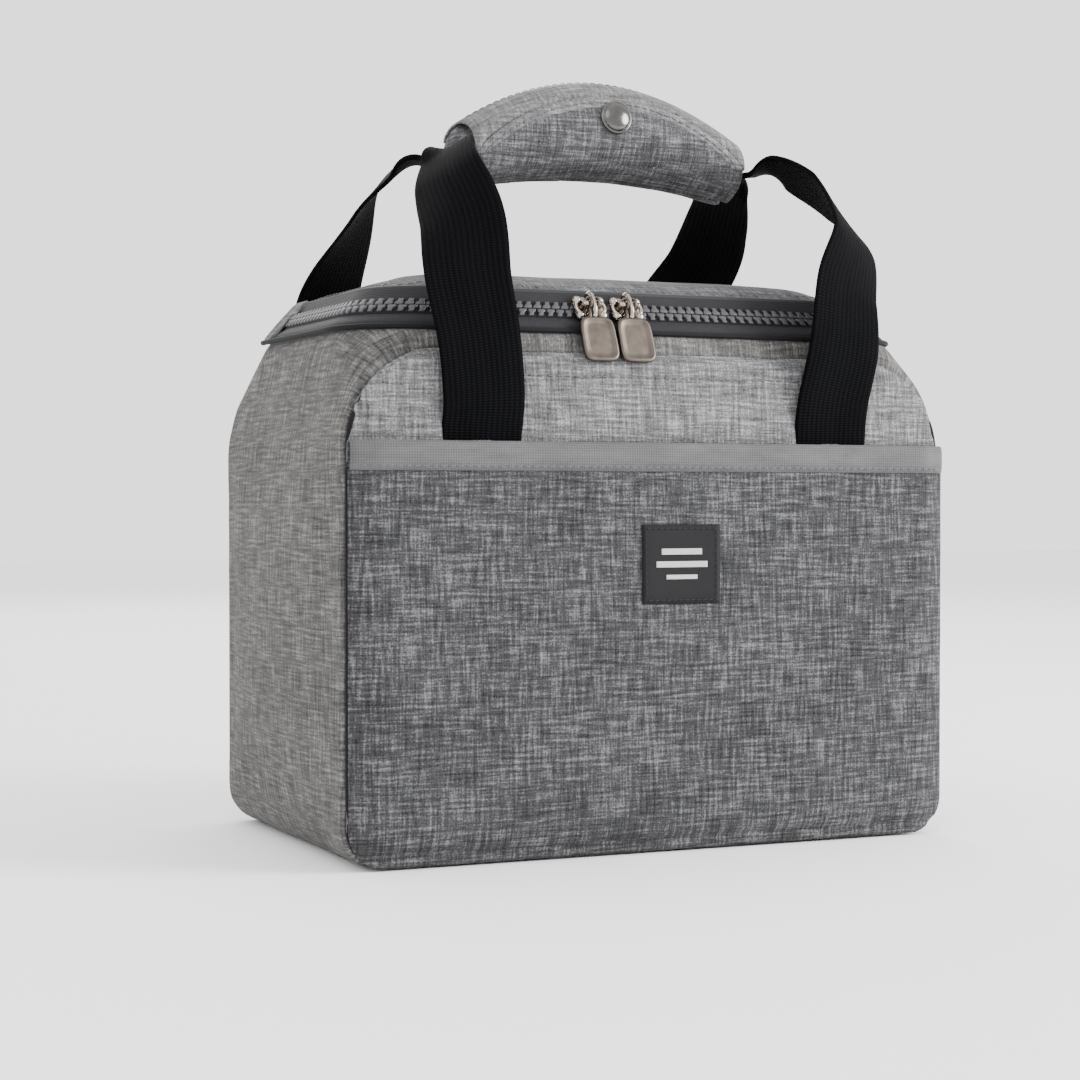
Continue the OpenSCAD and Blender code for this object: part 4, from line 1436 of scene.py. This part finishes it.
hem_line = [row[4] + off_grip(row[4]) * 0.35 * mm for row in hem_rows]
fold_open(stitches("flap_hem_stitches", hem_line, 2.3 * mm, 0.9 * mm, 0.26 * mm, grey_thread, None,
                   lift=off_grip))
low_line = [section_point(u * 0.96, 236, -0.6) for u in stations]
fold_open(stitches("flap_lower_stitches", low_line, 2.3 * mm, 0.9 * mm, 0.24 * mm, dark_thread, None,
                   lift=off_grip))

wrap_start, wrap_end = 38, 183
wrap_rows = []
for u in stations:
    stop = min(flap_top(u * 0.985) + 5, wrap_end)
    row = []
    for k in range(31):
        angle = wrap_start + (stop - wrap_start) * k / 30
        under = max(0.0, angle - (stop - 11)) if stop < 182 else 0.0
        start = 0.9 * max(0.0, 1 - k / 1.5)
        row.append(section_point(u, angle, min(-0.1 + start + 0.4 * under, 4.3)))
    wrap_rows.append(row)
wrap = strip("grip_ridge_band", wrap_rows, 0.9 * mm, 0)
lay_weave(wrap)
dress(wrap, hem_cloth, "back_handle", "heather_fabric")
for name, angle in (("ridge_stitches_back", 44), ("ridge_stitches_top", 96)):
    line = [section_point(u * 0.97, angle, -0.75) for u in stations]
    stitches(name, line, 2.3 * mm, 0.9 * mm, 0.24 * mm, grey_thread, "back_handle", lift=off_grip)


# ---- Snap ----
# A pressed snap in dark polished nickel: a domed cap and ring set through the flap,
# and a stud on its washer, riveted to the padding behind.

snap_nickel = metal("dark_nickel", (0.10, 0.097, 0.094), 0.15, 0.04)
ring_nickel = metal("ring_nickel", (0.2, 0.195, 0.19), 0.3, 0.08)
snap_angle = math.radians(170)
snap_at = Vector((grip_x, section_a(0) * math.cos(snap_angle),
                  section_z(0) + section_b(0) * math.sin(snap_angle))) * mm
snap_tilt = math.atan2(math.sin(snap_angle) * section_a(0), -math.cos(snap_angle) * section_b(0))
snap_out = Vector((0, -math.cos(snap_tilt), math.sin(snap_tilt)))


def turned(name, section):
    """A turned or pressed round piece on the snap's axis, through (radius, height) pairs."""
    rings = [[Vector((r * math.cos(a), r * math.sin(a), h)) * mm for a in turn_steps(48)]
             for r, h in section]
    side = Vector((1, 0, 0))
    return placed(through_rings(name, rings), snap_at, side, snap_out.cross(side))


cap_section = [(2.2, -1), (2.2, 0.8), (5.2, 0.8), (5.9, 0.75), (6.3, 1.05), (6.35, 1.4),
               (6.15, 1.75), (5.7, 1.85), (5.5, 1.75)]
cap_section += [(5.4 * math.cos(a), 1.8 + 1.75 * math.sin(a))
                for a in (math.pi / 2 * k / 12 for k in range(12))]
cap_section.append((0.15, 3.56))
ring_section = [(2.5, -3.2), (3.4, -3.25), (3.7, -3.0), (3.7, -0.1), (3.5, 0.1), (2.7, 0.1),
                (2.5, -0.1), (2.5, -2.9)]
post_section = [(3.5, -4.5), (3.5, -3.75), (3.1, -3.45), (2.0, -3.38), (1.85, -2.8), (2.0, -1.9),
                (1.7, -1.45), (1.1, -1.4)]
dress(turned("snap_cap_dome", cap_section), snap_nickel, "snap_flap", "snap_metal", "snap_cap")
dress(turned("snap_socket_ring", ring_section), ring_nickel, "snap_flap", "snap_metal", "snap_socket")
dress(turned("snap_stud_post", post_section), ring_nickel, "back_handle", "snap_metal", "snap_stud")
